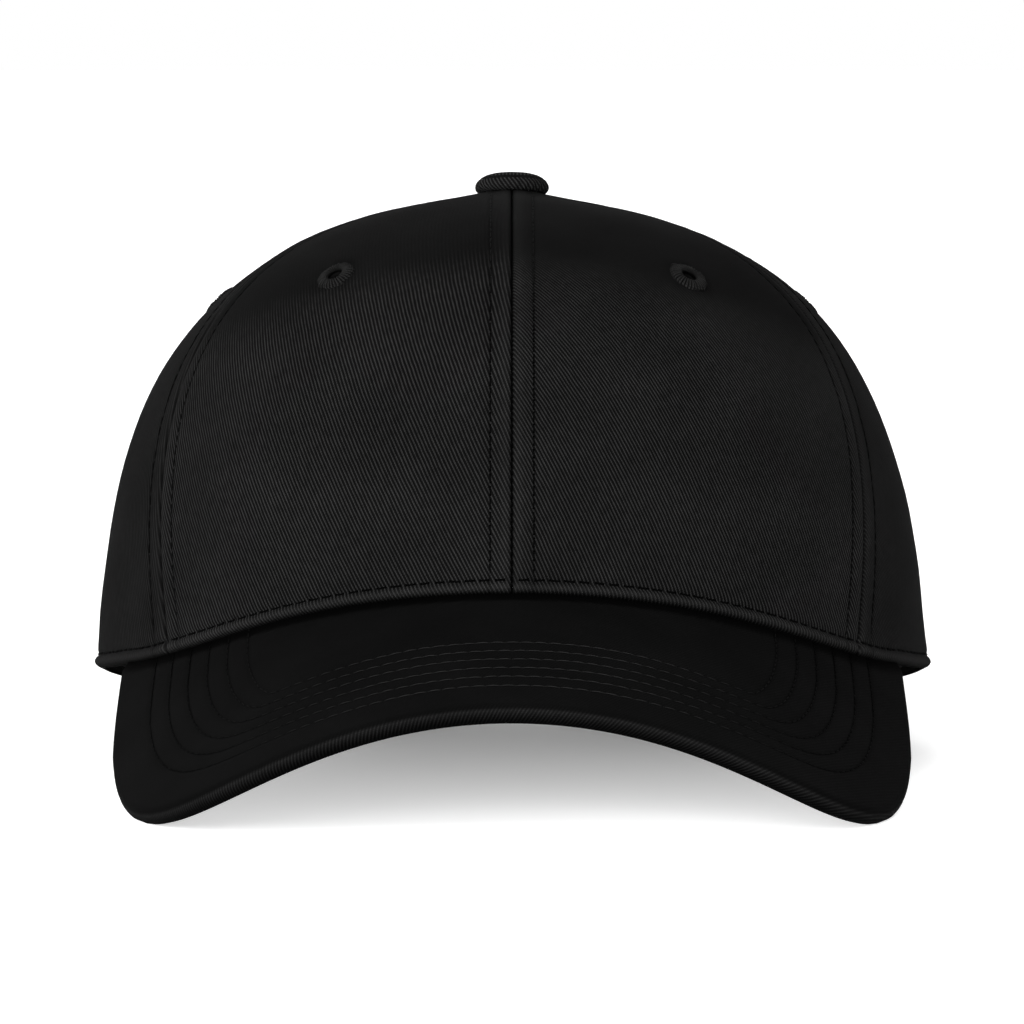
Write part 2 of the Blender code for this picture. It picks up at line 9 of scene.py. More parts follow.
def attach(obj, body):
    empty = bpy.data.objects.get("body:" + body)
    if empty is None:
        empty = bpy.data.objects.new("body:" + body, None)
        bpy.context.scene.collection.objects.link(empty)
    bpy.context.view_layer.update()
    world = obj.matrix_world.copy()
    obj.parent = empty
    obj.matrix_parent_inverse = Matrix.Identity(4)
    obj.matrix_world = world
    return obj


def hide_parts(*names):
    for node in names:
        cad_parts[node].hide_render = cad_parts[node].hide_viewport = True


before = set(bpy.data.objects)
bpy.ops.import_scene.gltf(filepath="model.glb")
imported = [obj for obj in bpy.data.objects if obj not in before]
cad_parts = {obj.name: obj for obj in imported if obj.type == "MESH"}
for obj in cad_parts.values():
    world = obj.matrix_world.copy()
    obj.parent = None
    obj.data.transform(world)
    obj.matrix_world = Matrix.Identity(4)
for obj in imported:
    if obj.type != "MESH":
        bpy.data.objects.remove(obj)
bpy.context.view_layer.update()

MM = 0.001

# A baseball cap in black twill. Each cloth piece is built on the same surface as its CAD node, with the
# weave's unevenness, seams, folds and stitches added to it, and takes that node's place.

# ------------------------------------------------------------------ measures (mm, degrees)
# The crown's own frame: X across, F forward, W up from the hem plane, tilted back by TILT.
HALF_WIDTH, HALF_LENGTH, DOME_HEIGHT = 90.5, 98.8, 101.2
PEAK_HEIGHT, PEAK_SPREAD, HEM_FLARE = 6.43, 0.1926, 0.0113
ROUND_SIDE, ROUND_FRONT, ROUND_REAR, ROUND_RISE = 2.634, 2.6, 2.2, 2.451
TILT = math.radians(9.8)
FORWARD = np.array([0.0, -math.cos(TILT), math.sin(TILT)])
UPWARD = np.array([0.0, math.sin(TILT), math.cos(TILT)])
ORIGIN = np.array([0.0, 28.25, 19.2])
TOP_RISE = 89.2
REAR_HEM_DROP = 4.6
OPENING_HALF_ANGLE, OPENING_HEIGHT = 24.8, 52.0
FRONT_SEAM, FRONT_SEAM_LEAN, FRONT_SEAM_BOW = 53.66, 16.76, -1.39
REAR_SEAM, REAR_SEAM_LEAN = 128.0, -14.0
VISOR_ROOT_AHEAD, VISOR_ROOT_HEIGHT, VISOR_END_AZIMUTH = -96.72, 24.74, 66.0
VISOR_SLOPE = math.tan(math.radians(15.0))
VISOR_ARCH_SQUARE, VISOR_ARCH_FOURTH = 41.75, 18.8
VISOR_ARCH_GROWTH, VISOR_GROWTH_LENGTH = 0.1, 62.4
VISOR_HALF_CHORD, VISOR_OUTLINE_CENTRE, VISOR_OUTLINE_LENGTH = 85.1, -90.0, 152.5
VISOR_SIDE_POWER, VISOR_FRONT_POWER = 5.0, 4.0
VISOR_END_AHEAD, VISOR_FLARE, VISOR_FLARE_LENGTH = -52.0, 0.013, 40.0
VISOR_ROW_DEPTHS = (12.4, 17.6, 22.7, 27.8, 32.8, 37.8)
VISOR_THICKNESS = 3.9
VISOR_ROLL = 2.15
VISOR_WALE = math.radians(60.0)
VISOR_STATIONS = 221
EYELETS = {"front": (35.1, 48.6), "side": (90.0, 50.0), "rear": (148.0, 53.0)}
STRAP_RADIUS, STRAP_LEAN = 82.45, math.tan(math.radians(5.0))
STRAP_BOTTOM, STRAP_TOP, STRAP_BACK = 1.8, 21.1, 16.1
STRAP_HALF_ANGLE = 41.0
BUCKLE_AZIMUTH = 13.0
CHEEK = 12.4
PIN_ALONG, PIN_OUT = -6.5, 2.45

# The cloth's height near a seam or the hem, at distances from it.
SEAM_PROFILE_S = (0.0, 0.12, 0.3, 0.7, 1.3, 2.4, 3.7, 4.5, 5.0, 5.5, 6.6, 9.0, 12.0)
SEAM_PROFILE_D = (-1.7, -0.85, -0.36, -0.06, 0.10, 0.17, 0.10, -0.06, -0.14, -0.03, 0.05, 0.02, 0.0)
HEM_PROFILE_S = (0.0, 0.2, 0.45, 0.8, 1.3, 1.8, 2.3, 2.65, 3.0, 3.35, 3.9, 5.0, 6.8, 9.0)
HEM_PROFILE_D = (-1.60, -0.55, 0.05, 0.46, 0.72, 0.66, 0.36, -0.02, -0.22, -0.08, 0.08, 0.10, 0.03, 0.0)
SEAM_STEPS = (0.0, 0.2, 0.4, 0.7, 1.1, 1.7, 2.6, 3.5, 4.2, 4.7, 5.0, 5.3, 5.9, 7.2, 9.4)
HEM_STEPS = (0.0, 0.2, 0.45, 0.8, 1.3, 1.8, 2.3, 2.65, 3.0, 3.35, 3.9, 5.0, 6.8)
STITCH_IN = 5.0
STITCH_RIDE = 0.05
HEM_STITCH_UP = 3.0

PANEL_SEED = {("front", 1): 3.0, ("front", -1): 11.0, ("side", 1): 19.0, ("side", -1): 27.0,
              ("rear", 1): 35.0, ("rear", -1): 43.0}
WALE_LEAN = {1: math.radians(29.0), -1: math.radians(25.0)}
WALE_SCALE = {1: 1.0, -1: 0.91}
WEAVE_BOLD = {"front": 1.0, "side": 0.5, "rear": 0.75}

# Along a stitch: place in its length, swell, height above the cloth, and how much painted shade darkens it
# where it sinks into the cloth.
STITCH_RINGS = ((-0.56, 0.8, -0.30, 1.0), (-0.53, 1.8, -0.01, 1.0), (-0.41, 1.5, 0.02, 1.0),
                (-0.34, 0.95, 0.05, 0.2), (-0.13, 1.0, 0.09, 0.0), (0.13, 1.0, 0.09, 0.0),
                (0.34, 0.95, 0.05, 0.2), (0.41, 1.5, 0.02, 1.0), (0.53, 1.8, -0.01, 1.0),
                (0.56, 0.8, -0.30, 1.0))


# ------------------------------------------------------------------ crown surface


def to_world(local):
    across = local[..., 0:1] * np.array([1.0, 0.0, 0.0])
    return ORIGIN + across + local[..., 1:2] * FORWARD + local[..., 2:3] * UPWARD


def dome(azimuth, rise, drop=0.0):
    turn, lift = np.radians(azimuth), np.radians(rise)
    facing = np.cos(turn)
    end = np.where(facing > 0.0, ROUND_FRONT, ROUND_REAR)
    power = 2.0 / (ROUND_SIDE + (end - ROUND_SIDE) * facing * facing)
    reach = np.maximum(np.cos(lift), 1e-9) ** power
    height = np.maximum(np.sin(lift), 0.0) ** (2.0 / ROUND_RISE)
    leftward = np.maximum(np.sin(turn), 0.0)
    flare = 1.0 + (HEM_FLARE + 0.004 * leftward) * (1.0 - height) ** 4
    up = DOME_HEIGHT * height + PEAK_HEIGHT * np.exp(-reach / PEAK_SPREAD) + drop
    up = up - 0.62 * leftward * np.exp(-((reach - 0.52) / 0.32) ** 2)
    return np.stack([HALF_WIDTH * reach * flare * np.sin(turn), HALF_LENGTH * reach * flare * facing, up], -1)


def dome_normal(azimuth, rise):
    step = 0.05
    rise = np.maximum(rise, 1.0)
    along = dome(azimuth + step, rise) - dome(azimuth - step, rise)
    upward = dome(azimuth, rise + step) - dome(azimuth, rise - step)
    normal = np.cross(upward, along)
    return normal / np.linalg.norm(normal, axis=-1, keepdims=True)


def shell(azimuth, rise, depth, drop=0.0):
    azimuth, rise, depth, drop = np.broadcast_arrays(azimuth, rise, depth, drop)
    local = dome(azimuth, rise, drop) - dome_normal(azimuth, rise) * depth[..., None]
    return to_world(local)


def shell_normal(azimuth, rise):
    azimuth, rise = np.broadcast_arrays(azimuth, rise)
    return to_world(dome_normal(azimuth, rise)) - ORIGIN


def rise_at(height):
    share = np.clip(np.asarray(height, float) / DOME_HEIGHT, 0.0, 1.0)
    return np.degrees(np.arcsin(share ** (ROUND_RISE / 2.0)))


def wall(azimuth, height, depth):
    height = np.asarray(height, float)
    return shell(azimuth, rise_at(height), depth, np.minimum(height, 0.0))


def share_of(rise):
    return np.sin(np.radians(np.clip(rise, 0.0, 90.0))) ** (2.0 / ROUND_RISE)


def front_seam(rise):
    share = share_of(rise)
    return FRONT_SEAM + FRONT_SEAM_LEAN * share + FRONT_SEAM_BOW * share * share


def rear_seam(rise):
    return REAR_SEAM + REAR_SEAM_LEAN * share_of(rise)


def seams(kind, rise):
    if kind == "front":
        return np.zeros_like(rise), front_seam(rise)
    if kind == "side":
        return front_seam(rise), rear_seam(rise)
    return rear_seam(rise), np.full_like(rise, 180.0)


# ------------------------------------------------------------------ visor surface


def visor_height(x, ahead):
    growth = 1.0 + VISOR_ARCH_GROWTH * np.maximum(ahead, -VISOR_GROWTH_LENGTH) / VISOR_GROWTH_LENGTH
    share = x / 100.0
    arch = VISOR_ARCH_SQUARE * share ** 2 + VISOR_ARCH_FOURTH * share ** 4
    return VISOR_ROOT_HEIGHT - VISOR_SLOPE * ahead - arch * growth


def visor_at(x, ahead, depth):
    x, ahead, depth = np.broadcast_arrays(x, ahead, depth)
    step = 0.05
    slope_x = (visor_height(x + step, ahead) - visor_height(x - step, ahead)) / (2.0 * step)
    slope_y = (visor_height(x, ahead - step) - visor_height(x, ahead + step)) / (2.0 * step)
    normal = np.stack([-slope_x, -slope_y, np.ones_like(slope_x)], -1)
    normal /= np.linalg.norm(normal, axis=-1, keepdims=True)
    here = np.stack([x, VISOR_ROOT_AHEAD - ahead, visor_height(x, ahead)], -1)
    return here - normal * depth[..., None] + ORIGIN


def hem_height(azimuth, depth=0.0, gap=0.35):
    side = np.abs(np.asarray(azimuth, float))
    reach = np.minimum(side, VISOR_END_AZIMUTH)
    height = np.full_like(side, 4.0)
    for _ in range(12):
        place = wall(reach, height, depth) - ORIGIN
        height = height + visor_height(place[..., 0], VISOR_ROOT_AHEAD - place[..., 1]) + gap - place[..., 2]
    ease = np.clip((side - VISOR_END_AZIMUTH) / 30.0, 0.0, 1.0)
    height = height * np.cos(np.radians(90.0 * ease)) ** 2
    back = np.clip((side - 100.0) / 80.0, 0.0, 1.0)
    return height - REAR_HEM_DROP * np.sin(np.radians(90.0 * back)) ** 2


def opening_height(azimuth, grow=0.0):
    """Height of the half-moon opening's edge at an azimuth near the back."""
    reach = OPENING_HALF_ANGLE + math.degrees(grow / HALF_LENGTH)
    base = float(hem_height(180.0 - OPENING_HALF_ANGLE))
    share = np.clip((180.0 - np.asarray(azimuth, float)) / reach, 0.0, 1.0)
    return base + (OPENING_HEIGHT + grow) * np.sqrt(1.0 - share ** 2)


def lower_edge(azimuth):
    hem = hem_height(azimuth)
    return np.where(azimuth > 180.0 - OPENING_HALF_ANGLE, opening_height(azimuth), hem)


# ------------------------------------------------------------------ materials


def tree_of(name, colour, roughness, metallic=0.0, sheen=0.0, sheen_roughness=0.5, specular=0.5):
    made = bpy.data.materials.new(name)
    made.use_nodes = True
    shader = made.node_tree.nodes["Principled BSDF"]
    shader.inputs["Base Color"].default_value = (*colour, 1.0)
    shader.inputs["Roughness"].default_value = roughness
    shader.inputs["Metallic"].default_value = metallic
    shader.inputs["Sheen Weight"].default_value = sheen
    shader.inputs["Sheen Roughness"].default_value = sheen_roughness
    shader.inputs["Specular IOR Level"].default_value = specular
    return made, made.node_tree, shader


def node(tree, kind, **values):
    made = tree.nodes.new(kind)
    for key, value in values.items():
        if key.startswith("in_"):
            made.inputs[key[3:].replace("_", " ")].default_value = value
        else:
            setattr(made, key, value)
    return made


def mapped(tree, scale, layer="weave", turn=0.0):
    """Millimetre coordinates lying in the cloth, scaled."""
    source = node(tree, "ShaderNodeUVMap", uv_map=layer)
    mapping = node(tree, "ShaderNodeMapping")
    mapping.inputs["Scale"].default_value = scale
    mapping.inputs["Rotation"].default_value = (0.0, 0.0, turn)
    tree.links.new(source.outputs["UV"], mapping.inputs["Vector"])
    return mapping.outputs["Vector"]


def math_node(tree, operation, first, second):
    made = node(tree, "ShaderNodeMath", operation=operation)
    for socket, value in zip(made.inputs, (first, second)):
        if isinstance(value, (int, float)):
            socket.default_value = value
        else:
            tree.links.new(value, socket)
    return made.outputs[0]


def times(tree, first, second):
    return math_node(tree, "MULTIPLY", first, second)


def plus(tree, first, second):
    return math_node(tree, "ADD", first, second)


def add_bump(tree, shader, height, strength, distance):
    made = node(tree, "ShaderNodeBump", in_Strength=strength, in_Distance=distance)
    tree.links.new(height, made.inputs["Height"])
    tree.links.new(made.outputs["Normal"], shader.inputs["Normal"])


def waves(tree, vector, scale, distortion=0.0, detail_scale=1.0):
    made = node(tree, "ShaderNodeTexWave", wave_type="BANDS", bands_direction="X", wave_profile="SIN")
    made.inputs["Scale"].default_value = scale
    made.inputs["Distortion"].default_value = distortion
    made.inputs["Detail"].default_value = 2.0
    made.inputs["Detail Scale"].default_value = detail_scale
    tree.links.new(vector, made.inputs["Vector"])
    return made.outputs["Fac"]


def cloud(tree, vector, scale, detail=3.0, roughness=0.55):
    made = node(tree, "ShaderNodeTexNoise", in_Scale=scale, in_Detail=detail, in_Roughness=roughness)
    tree.links.new(vector, made.inputs["Vector"])
    return made.outputs["Fac"]


def ramp(tree, value, stops):
    made = node(tree, "ShaderNodeValToRGB")
    for _ in range(len(stops) - 2):
        made.color_ramp.elements.new(0.5)
    for element, (place, colour) in zip(made.color_ramp.elements, stops):
        element.position = place
        element.color = (*colour, 1.0)
    tree.links.new(value, made.inputs["Fac"])
    return made.outputs["Color"]


def mix(tree, factor, first, second, blend="MIX"):
    made = node(tree, "ShaderNodeMix", data_type="RGBA", blend_type=blend)
    for socket, value in ((made.inputs[0], factor), (made.inputs[6], first), (made.inputs[7], second)):
        if isinstance(value, (int, float)):
            socket.default_value = value
        elif isinstance(value, tuple):
            socket.default_value = (*value, 1.0)
        else:
            tree.links.new(value, socket)
    return made.outputs[2]


def cloth(name, dark, light, pitch, depth, cross_pitch, roughness=0.9, sheen=0.0012, wear_and_highlight=0.6, wander=1.4):
    """Twill: wales across the cloth's own X, yarns along them, lint, slow fading, worn edges and painted
    highlights where a mesh marks them, and painted shade where a mesh marks it.
    """
    made, tree, shader = tree_of(name, dark, roughness, sheen=sheen, sheen_roughness=0.5, specular=0.004)
    flat = mapped(tree, (1.0, 1.0, 1.0))
    wale = waves(tree, flat, 0.31416 / pitch, wander, 0.35)
    turned = mapped(tree, (1.0, 1.0, 1.0), turn=math.radians(62.0))
    yarn = waves(tree, turned, 0.31416 / cross_pitch, 0.8, 0.8)
    height = plus(tree, times(tree, wale, 0.66),
                       times(tree, times(tree, yarn, wale), 0.34))
    lint = cloud(tree, flat, 2.6, 4.0, 0.7)
    slub = cloud(tree, mapped(tree, (0.9, 0.45, 1.0)), 1.0, 3.0, 0.6)
    height = times(tree, height, plus(tree, times(tree, slub, 1.1), 0.45))
    fading = cloud(tree, mapped(tree, (0.035, 0.05, 1.0)), 1.0, 3.0, 0.5)
    raised = node(tree, "ShaderNodeAttribute", attribute_name="relief")
    worn_flat = times(tree, math_node(tree, "SUBTRACT", 1.0, raised.outputs["Fac"]), 0.42)
    shown = plus(tree, times(tree, height, raised.outputs["Fac"]), worn_flat)
    colour = ramp(tree, shown, ((0.08, tuple(c * 0.35 for c in dark)), (0.40, dark), (0.88, light)))
    colour = mix(tree, times(tree, lint, 0.20), colour, tuple(c * 0.8 for c in light))
    shade = ramp(tree, fading, ((0.3, (0.80, 0.80, 0.80)), (0.7, (1.16, 1.16, 1.16))))
    colour = mix(tree, 1.0, colour, shade, "MULTIPLY")
    # Wear and painted highlight: the cloth is lightened along worn edges, and on the visor edge's roll as a
    # painted highlight.
    edge = node(tree, "ShaderNodeAttribute", attribute_name="wear_and_highlight")
    worn_and_highlit = times(tree, edge.outputs["Fac"], times(tree, lint, wear_and_highlight))
    colour = mix(tree, worn_and_highlit, colour, tuple(c * 2.0 for c in light))
    # Painted shade: the cloth is darkened toward black in creases, seams, stitch lines and hollows marked on
    # the mesh.
    painted_shade = node(tree, "ShaderNodeAttribute", attribute_name="painted_shade")
    colour = mix(tree, painted_shade.outputs["Fac"], colour, (0.0002, 0.0002, 0.0002))
    tree.links.new(colour, shader.inputs["Base Color"])
    rough = plus(tree, times(tree, lint, 0.18), roughness - 0.12)
    tree.links.new(rough, shader.inputs["Roughness"])
    fuzz = plus(tree, shown, times(tree, lint, 0.35))
    add_bump(tree, shader, fuzz, 0.9, depth * MM)
    return made


def thread_material(name, dark, light):
    """Twisted sewing thread with slanting plies; each stitch gets a painted light level, and painted shade
    where it dives into the cloth.
    """
    made, tree, shader = tree_of(name, dark, 0.75, sheen=0.0, specular=0.008)
    flat = mapped(tree, (1.0, 1.0, 1.0), turn=math.radians(35.0))
    ply = waves(tree, flat, 0.31416 / 0.28, 0.3, 1.0)
    lint = cloud(tree, flat, 3.0, 3.0, 0.7)
    twist = plus(tree, times(tree, ply, 0.6), times(tree, lint, 0.4))
    colour = ramp(tree, twist, ((0.15, dark), (0.9, light)))
    # Painted light: the relief attribute here holds each stitch's painted light level; a low level paints the
    # thread near black.
    painted_light_tone = node(tree, "ShaderNodeAttribute", attribute_name="relief")
    colour = mix(tree, painted_light_tone.outputs["Fac"], (0.0003, 0.0003, 0.0003), colour)
    # Painted shade where the stitch dives into the cloth.
    painted_hole_shade = node(tree, "ShaderNodeAttribute", attribute_name="painted_shade")
    colour = mix(tree, painted_hole_shade.outputs["Fac"], colour, (0.0001, 0.0001, 0.0001))
    tree.links.new(colour, shader.inputs["Base Color"])
    add_bump(tree, shader, ply, 0.7, 0.00006)
    return made


def object_vector(tree, scale):
    source = node(tree, "ShaderNodeTexCoord")
    mapping = node(tree, "ShaderNodeMapping")
    mapping.inputs["Scale"].default_value = scale
    tree.links.new(source.outputs["Object"], mapping.inputs["Vector"])
    return mapping.outputs["Vector"]


def metal(name, dark, light, roughness, scratch):
    """Metal with brushed streaks, cloudy tarnish and a little pitting."""
    made, tree, shader = tree_of(name, light, roughness, metallic=1.0)
    streak = cloud(tree, object_vector(tree, (4000.0, 4000.0, 300.0)), 1.0, 3.0, 0.6)
    tarnish = cloud(tree, object_vector(tree, (230.0, 230.0, 230.0)), 1.0, 5.0, 0.6)
    colour = ramp(tree, tarnish, ((0.34, dark), (0.62, light)))
    tree.links.new(colour, shader.inputs["Base Color"])
    rough = plus(tree, times(tree, streak, scratch),
                      plus(tree, times(tree, tarnish, 0.2), roughness - 0.2))
    tree.links.new(rough, shader.inputs["Roughness"])
    add_bump(tree, shader, plus(tree, streak, tarnish), 0.25, 0.00008)
    return made


def moulded(name, dark, light):
    """Moulded sheet: faint mottling and a fine grain."""
    made, tree, shader = tree_of(name, light, 0.5)
    mottle = cloud(tree, object_vector(tree, (60.0, 60.0, 60.0)), 1.0, 4.0, 0.6)
    grain = cloud(tree, object_vector(tree, (2500.0, 2500.0, 2500.0)), 1.0, 2.0, 0.5)
    tree.links.new(ramp(tree, mottle, ((0.3, dark), (0.7, light))), shader.inputs["Base Color"])
    tree.links.new(plus(tree, times(tree, grain, 0.2), 0.4), shader.inputs["Roughness"])
    add_bump(tree, shader, grain, 0.2, 0.00005)
    return made


DARK = (0.0018, 0.0018, 0.0018)
LIGHT = (0.0160, 0.0159, 0.0158)
TWILL = cloth("black_twill", DARK, LIGHT, 0.76, 0.20, 0.45)
# Painted shade: the visor's cloth is the crown's twill painted darker, for the shading on the visor's top.
SHADED_VISOR_TWILL = cloth("visor_twill_painted_shade", (0.0014, 0.0014, 0.0014), (0.0074, 0.0074, 0.0074), 0.70, 0.14, 0.45)
# Painted light: the button's cover is the same twill painted lighter, for the light on the cap's top.
LIT_BUTTON_TWILL = cloth("button_twill_painted_light", (0.0036, 0.0036, 0.0036), (0.0225, 0.0224, 0.0222), 0.80, 0.24, 0.45)
STRAP_TWILL = cloth("strap_twill", DARK, LIGHT, 0.76, 0.18, 0.45)
TAPE = cloth("seam_tape_weave", (0.007, 0.007, 0.008), (0.017, 0.017, 0.018), 0.5, 0.1, 0.5)
BAND = cloth("sweatband_weave", (0.008, 0.008, 0.0085), (0.021, 0.021, 0.022), 0.55, 0.12, 0.45)
BUCKRAM = cloth("buckram_weave", (0.30, 0.29, 0.27), (0.52, 0.51, 0.47), 1.1, 0.3, 1.1, 0.9, 0.1, 0.2)
LABEL = cloth("label_satin", (0.035, 0.035, 0.038), (0.07, 0.07, 0.075), 0.3, 0.05, 0.3, 0.6, 0.2)
THREAD = thread_material("black_thread", (0.0022, 0.0022, 0.0022), (0.0085, 0.0085, 0.0084))
# Painted light: the visor's stitch rows are the same black thread painted lighter, for the highlight along
# them.
LIT_VISOR_THREAD = thread_material("visor_thread_painted_light", (0.0050, 0.0050, 0.0050), (0.0200, 0.0199, 0.0197))
EYELET_THREAD = thread_material("eyelet_thread", (0.0032, 0.0032, 0.0032), (0.0190, 0.0189, 0.0187))
BRASS = metal("antique_brass", (0.10, 0.066, 0.030), (0.36, 0.25, 0.12), 0.42, 0.2)
STEEL = metal("plated_steel", (0.30, 0.30, 0.31), (0.58, 0.58, 0.60), 0.38, 0.2)
BOARD = moulded("visor_board_sheet", (0.028, 0.028, 0.030), (0.042, 0.042, 0.044))


# ------------------------------------------------------------------ mesh making


def mesh_object(name, points, faces, paint, uv=None, wear_and_highlight=None, smooth=60.0, relief=None, painted_shade=None):
    """points in mm; uv, wear and painted highlight, relief (how bold the weave is; on thread, its painted
    light level) and painted shade are one value for each point.
    """
    mesh = bpy.data.meshes.new(name)
    mesh.from_pydata((np.asarray(points) * MM).tolist(), [], faces)
    made = bpy.data.objects.new(name, mesh)
    bpy.context.scene.collection.objects.link(made)
    layer = mesh.uv_layers.new(name="weave")
    loops = np.zeros(len(mesh.loops), np.int32)
    mesh.loops.foreach_get("vertex_index", loops)
    if uv is not None:
        layer.data.foreach_set("uv", np.asarray(uv, np.float32)[loops].ravel())
    for layer_name, values, plain in (("wear_and_highlight", wear_and_highlight, 0.0), ("relief", relief, 1.0), ("painted_shade", painted_shade, 0.0)):
        values = np.full(len(points), plain) if values is None else np.asarray(values)
        mesh.attributes.new(layer_name, "FLOAT", "POINT").data.foreach_set("value", values.astype(np.float32))
    bm = bmesh.new()
    bm.from_mesh(mesh)
    bmesh.ops.recalc_face_normals(bm, faces=bm.faces)
    bm.to_mesh(mesh)
    bm.free()
    mesh.shade_smooth()
    mesh.set_sharp_from_angle(angle=math.radians(smooth))
    mesh.materials.append(paint)
    return made


def grid_faces(rows, columns, start=0, flip=False):
    faces = []
    for i in range(rows - 1):
        for j in range(columns - 1):
            a = start + i * columns + j
            face = (a, a + 1, a + columns + 1, a + columns)
            faces.append(face[::-1] if flip else face)
    return faces


def slab_object(name, outer, inner, paint, uv, wear_and_highlight=None, smooth=60.0, relief=None, painted_shade=None):
    """A closed sheet between two grids of points (rows, columns, 3)."""
    rows, columns = outer.shape[:2]
    count = rows * columns
    faces = grid_faces(rows, columns) + grid_faces(rows, columns, count, True)
    rim = [j for j in range(columns)]
    rim += [i * columns + columns - 1 for i in range(1, rows)]
    rim += [(rows - 1) * columns + j for j in range(columns - 2, -1, -1)]
    rim += [i * columns for i in range(rows - 2, 0, -1)]
    for a, b in zip(rim, rim[1:] + rim[:1]):
        faces.append((b, a, a + count, b + count))
    points = np.concatenate([outer.reshape(-1, 3), inner.reshape(-1, 3)])
    flat = np.concatenate([uv.reshape(-1, 2)] * 2)
    worn_and_highlit = None if wear_and_highlight is None else np.concatenate([wear_and_highlight.ravel(), np.zeros(count)])
    bold = None if relief is None else np.concatenate([relief.ravel()] * 2)
    painted_darkness = None if painted_shade is None else np.concatenate([painted_shade.ravel()] * 2)
    return mesh_object(name, points, faces, paint, flat, worn_and_highlit, smooth, bold, painted_darkness)


def swept_object(name, sections, paint, uv, wear_and_highlight=None, closed=False, smooth=50.0, relief=None, painted_shade=None):
    """A body through matching closed sections (stations, ring points, 3)."""
    stations, ring = sections.shape[:2]
    faces = []
    for i in range(stations if closed else stations - 1):
        for k in range(ring):
            a, b = i * ring + k, i * ring + (k + 1) % ring
            c, d = ((i + 1) % stations) * ring + (k + 1) % ring, ((i + 1) % stations) * ring + k
            faces.append((a, b, c, d))
    if not closed:
        faces.append(tuple(range(ring)))
        faces.append(tuple(range((stations - 1) * ring, stations * ring)))
    worn_and_highlit = None if wear_and_highlight is None else wear_and_highlight.ravel()
    bold = None if relief is None else relief.ravel()
    painted_darkness = None if painted_shade is None else painted_shade.ravel()
    points, flat = sections.reshape(-1, 3), uv.reshape(-1, 2)
    return mesh_object(name, points, faces, paint, flat, worn_and_highlit, smooth, bold, painted_darkness)


def settle(made, node_names, body):
    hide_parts(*node_names)
    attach(made, body)
    return made


def undulation(points, size, seed):
    """Slow unevenness, -1 to 1, at each of the points."""
    flat = points.reshape(-1, 3)
    values = [noise.noise(Vector((p[0] / size + seed, p[1] / size, p[2] / size))) for p in flat]
    return np.array(values).reshape(points.shape[:-1])


def arc(points):
    steps = np.linalg.norm(np.diff(points, axis=0), axis=1)
    return np.concatenate([[0.0], np.cumsum(steps)])


def leaned(across, along, lean):
    """Cloth coordinates turned so that their first runs across the wales."""
    return np.stack([across * math.cos(lean) + along * math.sin(lean),
                     along * math.cos(lean) - across * math.sin(lean)], -1)


def resampled(points, distances):
    travel = arc(points)
    return np.stack([np.interp(distances, travel, points[:, k]) for k in range(3)], -1)


# ------------------------------------------------------------------ stitches

def stitch_mesh(name, runs, pitch, length, radius, paint, body="cap", lift=0.0, seed=1, painted_light_tone=None):
    """Separate stitches along runs of (points, normals), each a short arched length of thread, with a painted
    light level given for each stitch and painted shade at its ends.
    """
    rng = np.random.default_rng(seed)
    points, uvs, faces, painted_hole_shade, painted_light_levels = [], [], [], [], []
    sides = 6
    for path, normals in runs:
        total = arc(path)[-1]
        count = int(total // pitch)
        for k in range(count):
            middle = (k + 0.5) * total / count + rng.normal(0.0, 0.06)
            # Painted light: each stitch's light level; a low level paints the thread darker, and a lit stitch
            # gets less painted shade at its ends.
            lit = 0.6 if painted_light_tone is None else float(painted_light_tone(resampled(path, [middle])[0]))
            half = length * 0.5 * (0.80 + 0.20 * lit + rng.normal(0.0, 0.04))
            ends = resampled(path, [middle - half, middle, middle + half])
            up = resampled_normal(path, normals, middle)
            along = ends[2] - ends[0]
            along /= np.linalg.norm(along)
            side = np.cross(up, along)
            side /= np.linalg.norm(side)
            up = np.cross(along, side)
            yaw = rng.normal(0.0, 0.05)
            along = along + side * yaw
            start = len(points)
            for t, swell, high, painted_darkness in STITCH_RINGS:
                centre = ends[1] + along * (t * 2.0 * half) + up * (high + lift)
                for q in range(sides):
                    turn = 2.0 * math.pi * q / sides
                    flat = 0.8 if painted_darkness < 0.5 else 0.35
                    outward = side * math.cos(turn) + up * math.sin(turn) * flat
                    points.append(centre + outward * radius * swell)
                    uvs.append((t * 2.0 * half, radius * turn))
                    painted_hole_shade.append(painted_darkness * (1.0 - 0.55 * lit))
                    painted_light_levels.append(lit)
            for r in range(len(STITCH_RINGS) - 1):
                for q in range(sides):
                    a, b = start + r * sides + q, start + r * sides + (q + 1) % sides
                    faces.append((a, b, b + sides, a + sides))
            faces.append(tuple(start + q for q in range(sides)))
            faces.append(tuple(start + (len(STITCH_RINGS) - 1) * sides + q for q in range(sides)))
    made = mesh_object(name, np.array(points), faces, paint, np.array(uvs), relief=np.array(painted_light_levels),
                       painted_shade=np.array(painted_hole_shade))
    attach(made, body)
    return made


def resampled_normal(path, normals, distance):
    travel = arc(path)
    value = np.array([np.interp(distance, travel, normals[:, k]) for k in range(3)])
    return value / np.linalg.norm(value)


# ------------------------------------------------------------------ crown panels


def panel_width(kind, rise):
    low, high = seams(kind, rise)
    radius = np.linalg.norm(dome((low + high) / 2.0, rise)[..., :2], axis=-1)
    return radius * np.radians(high - low)


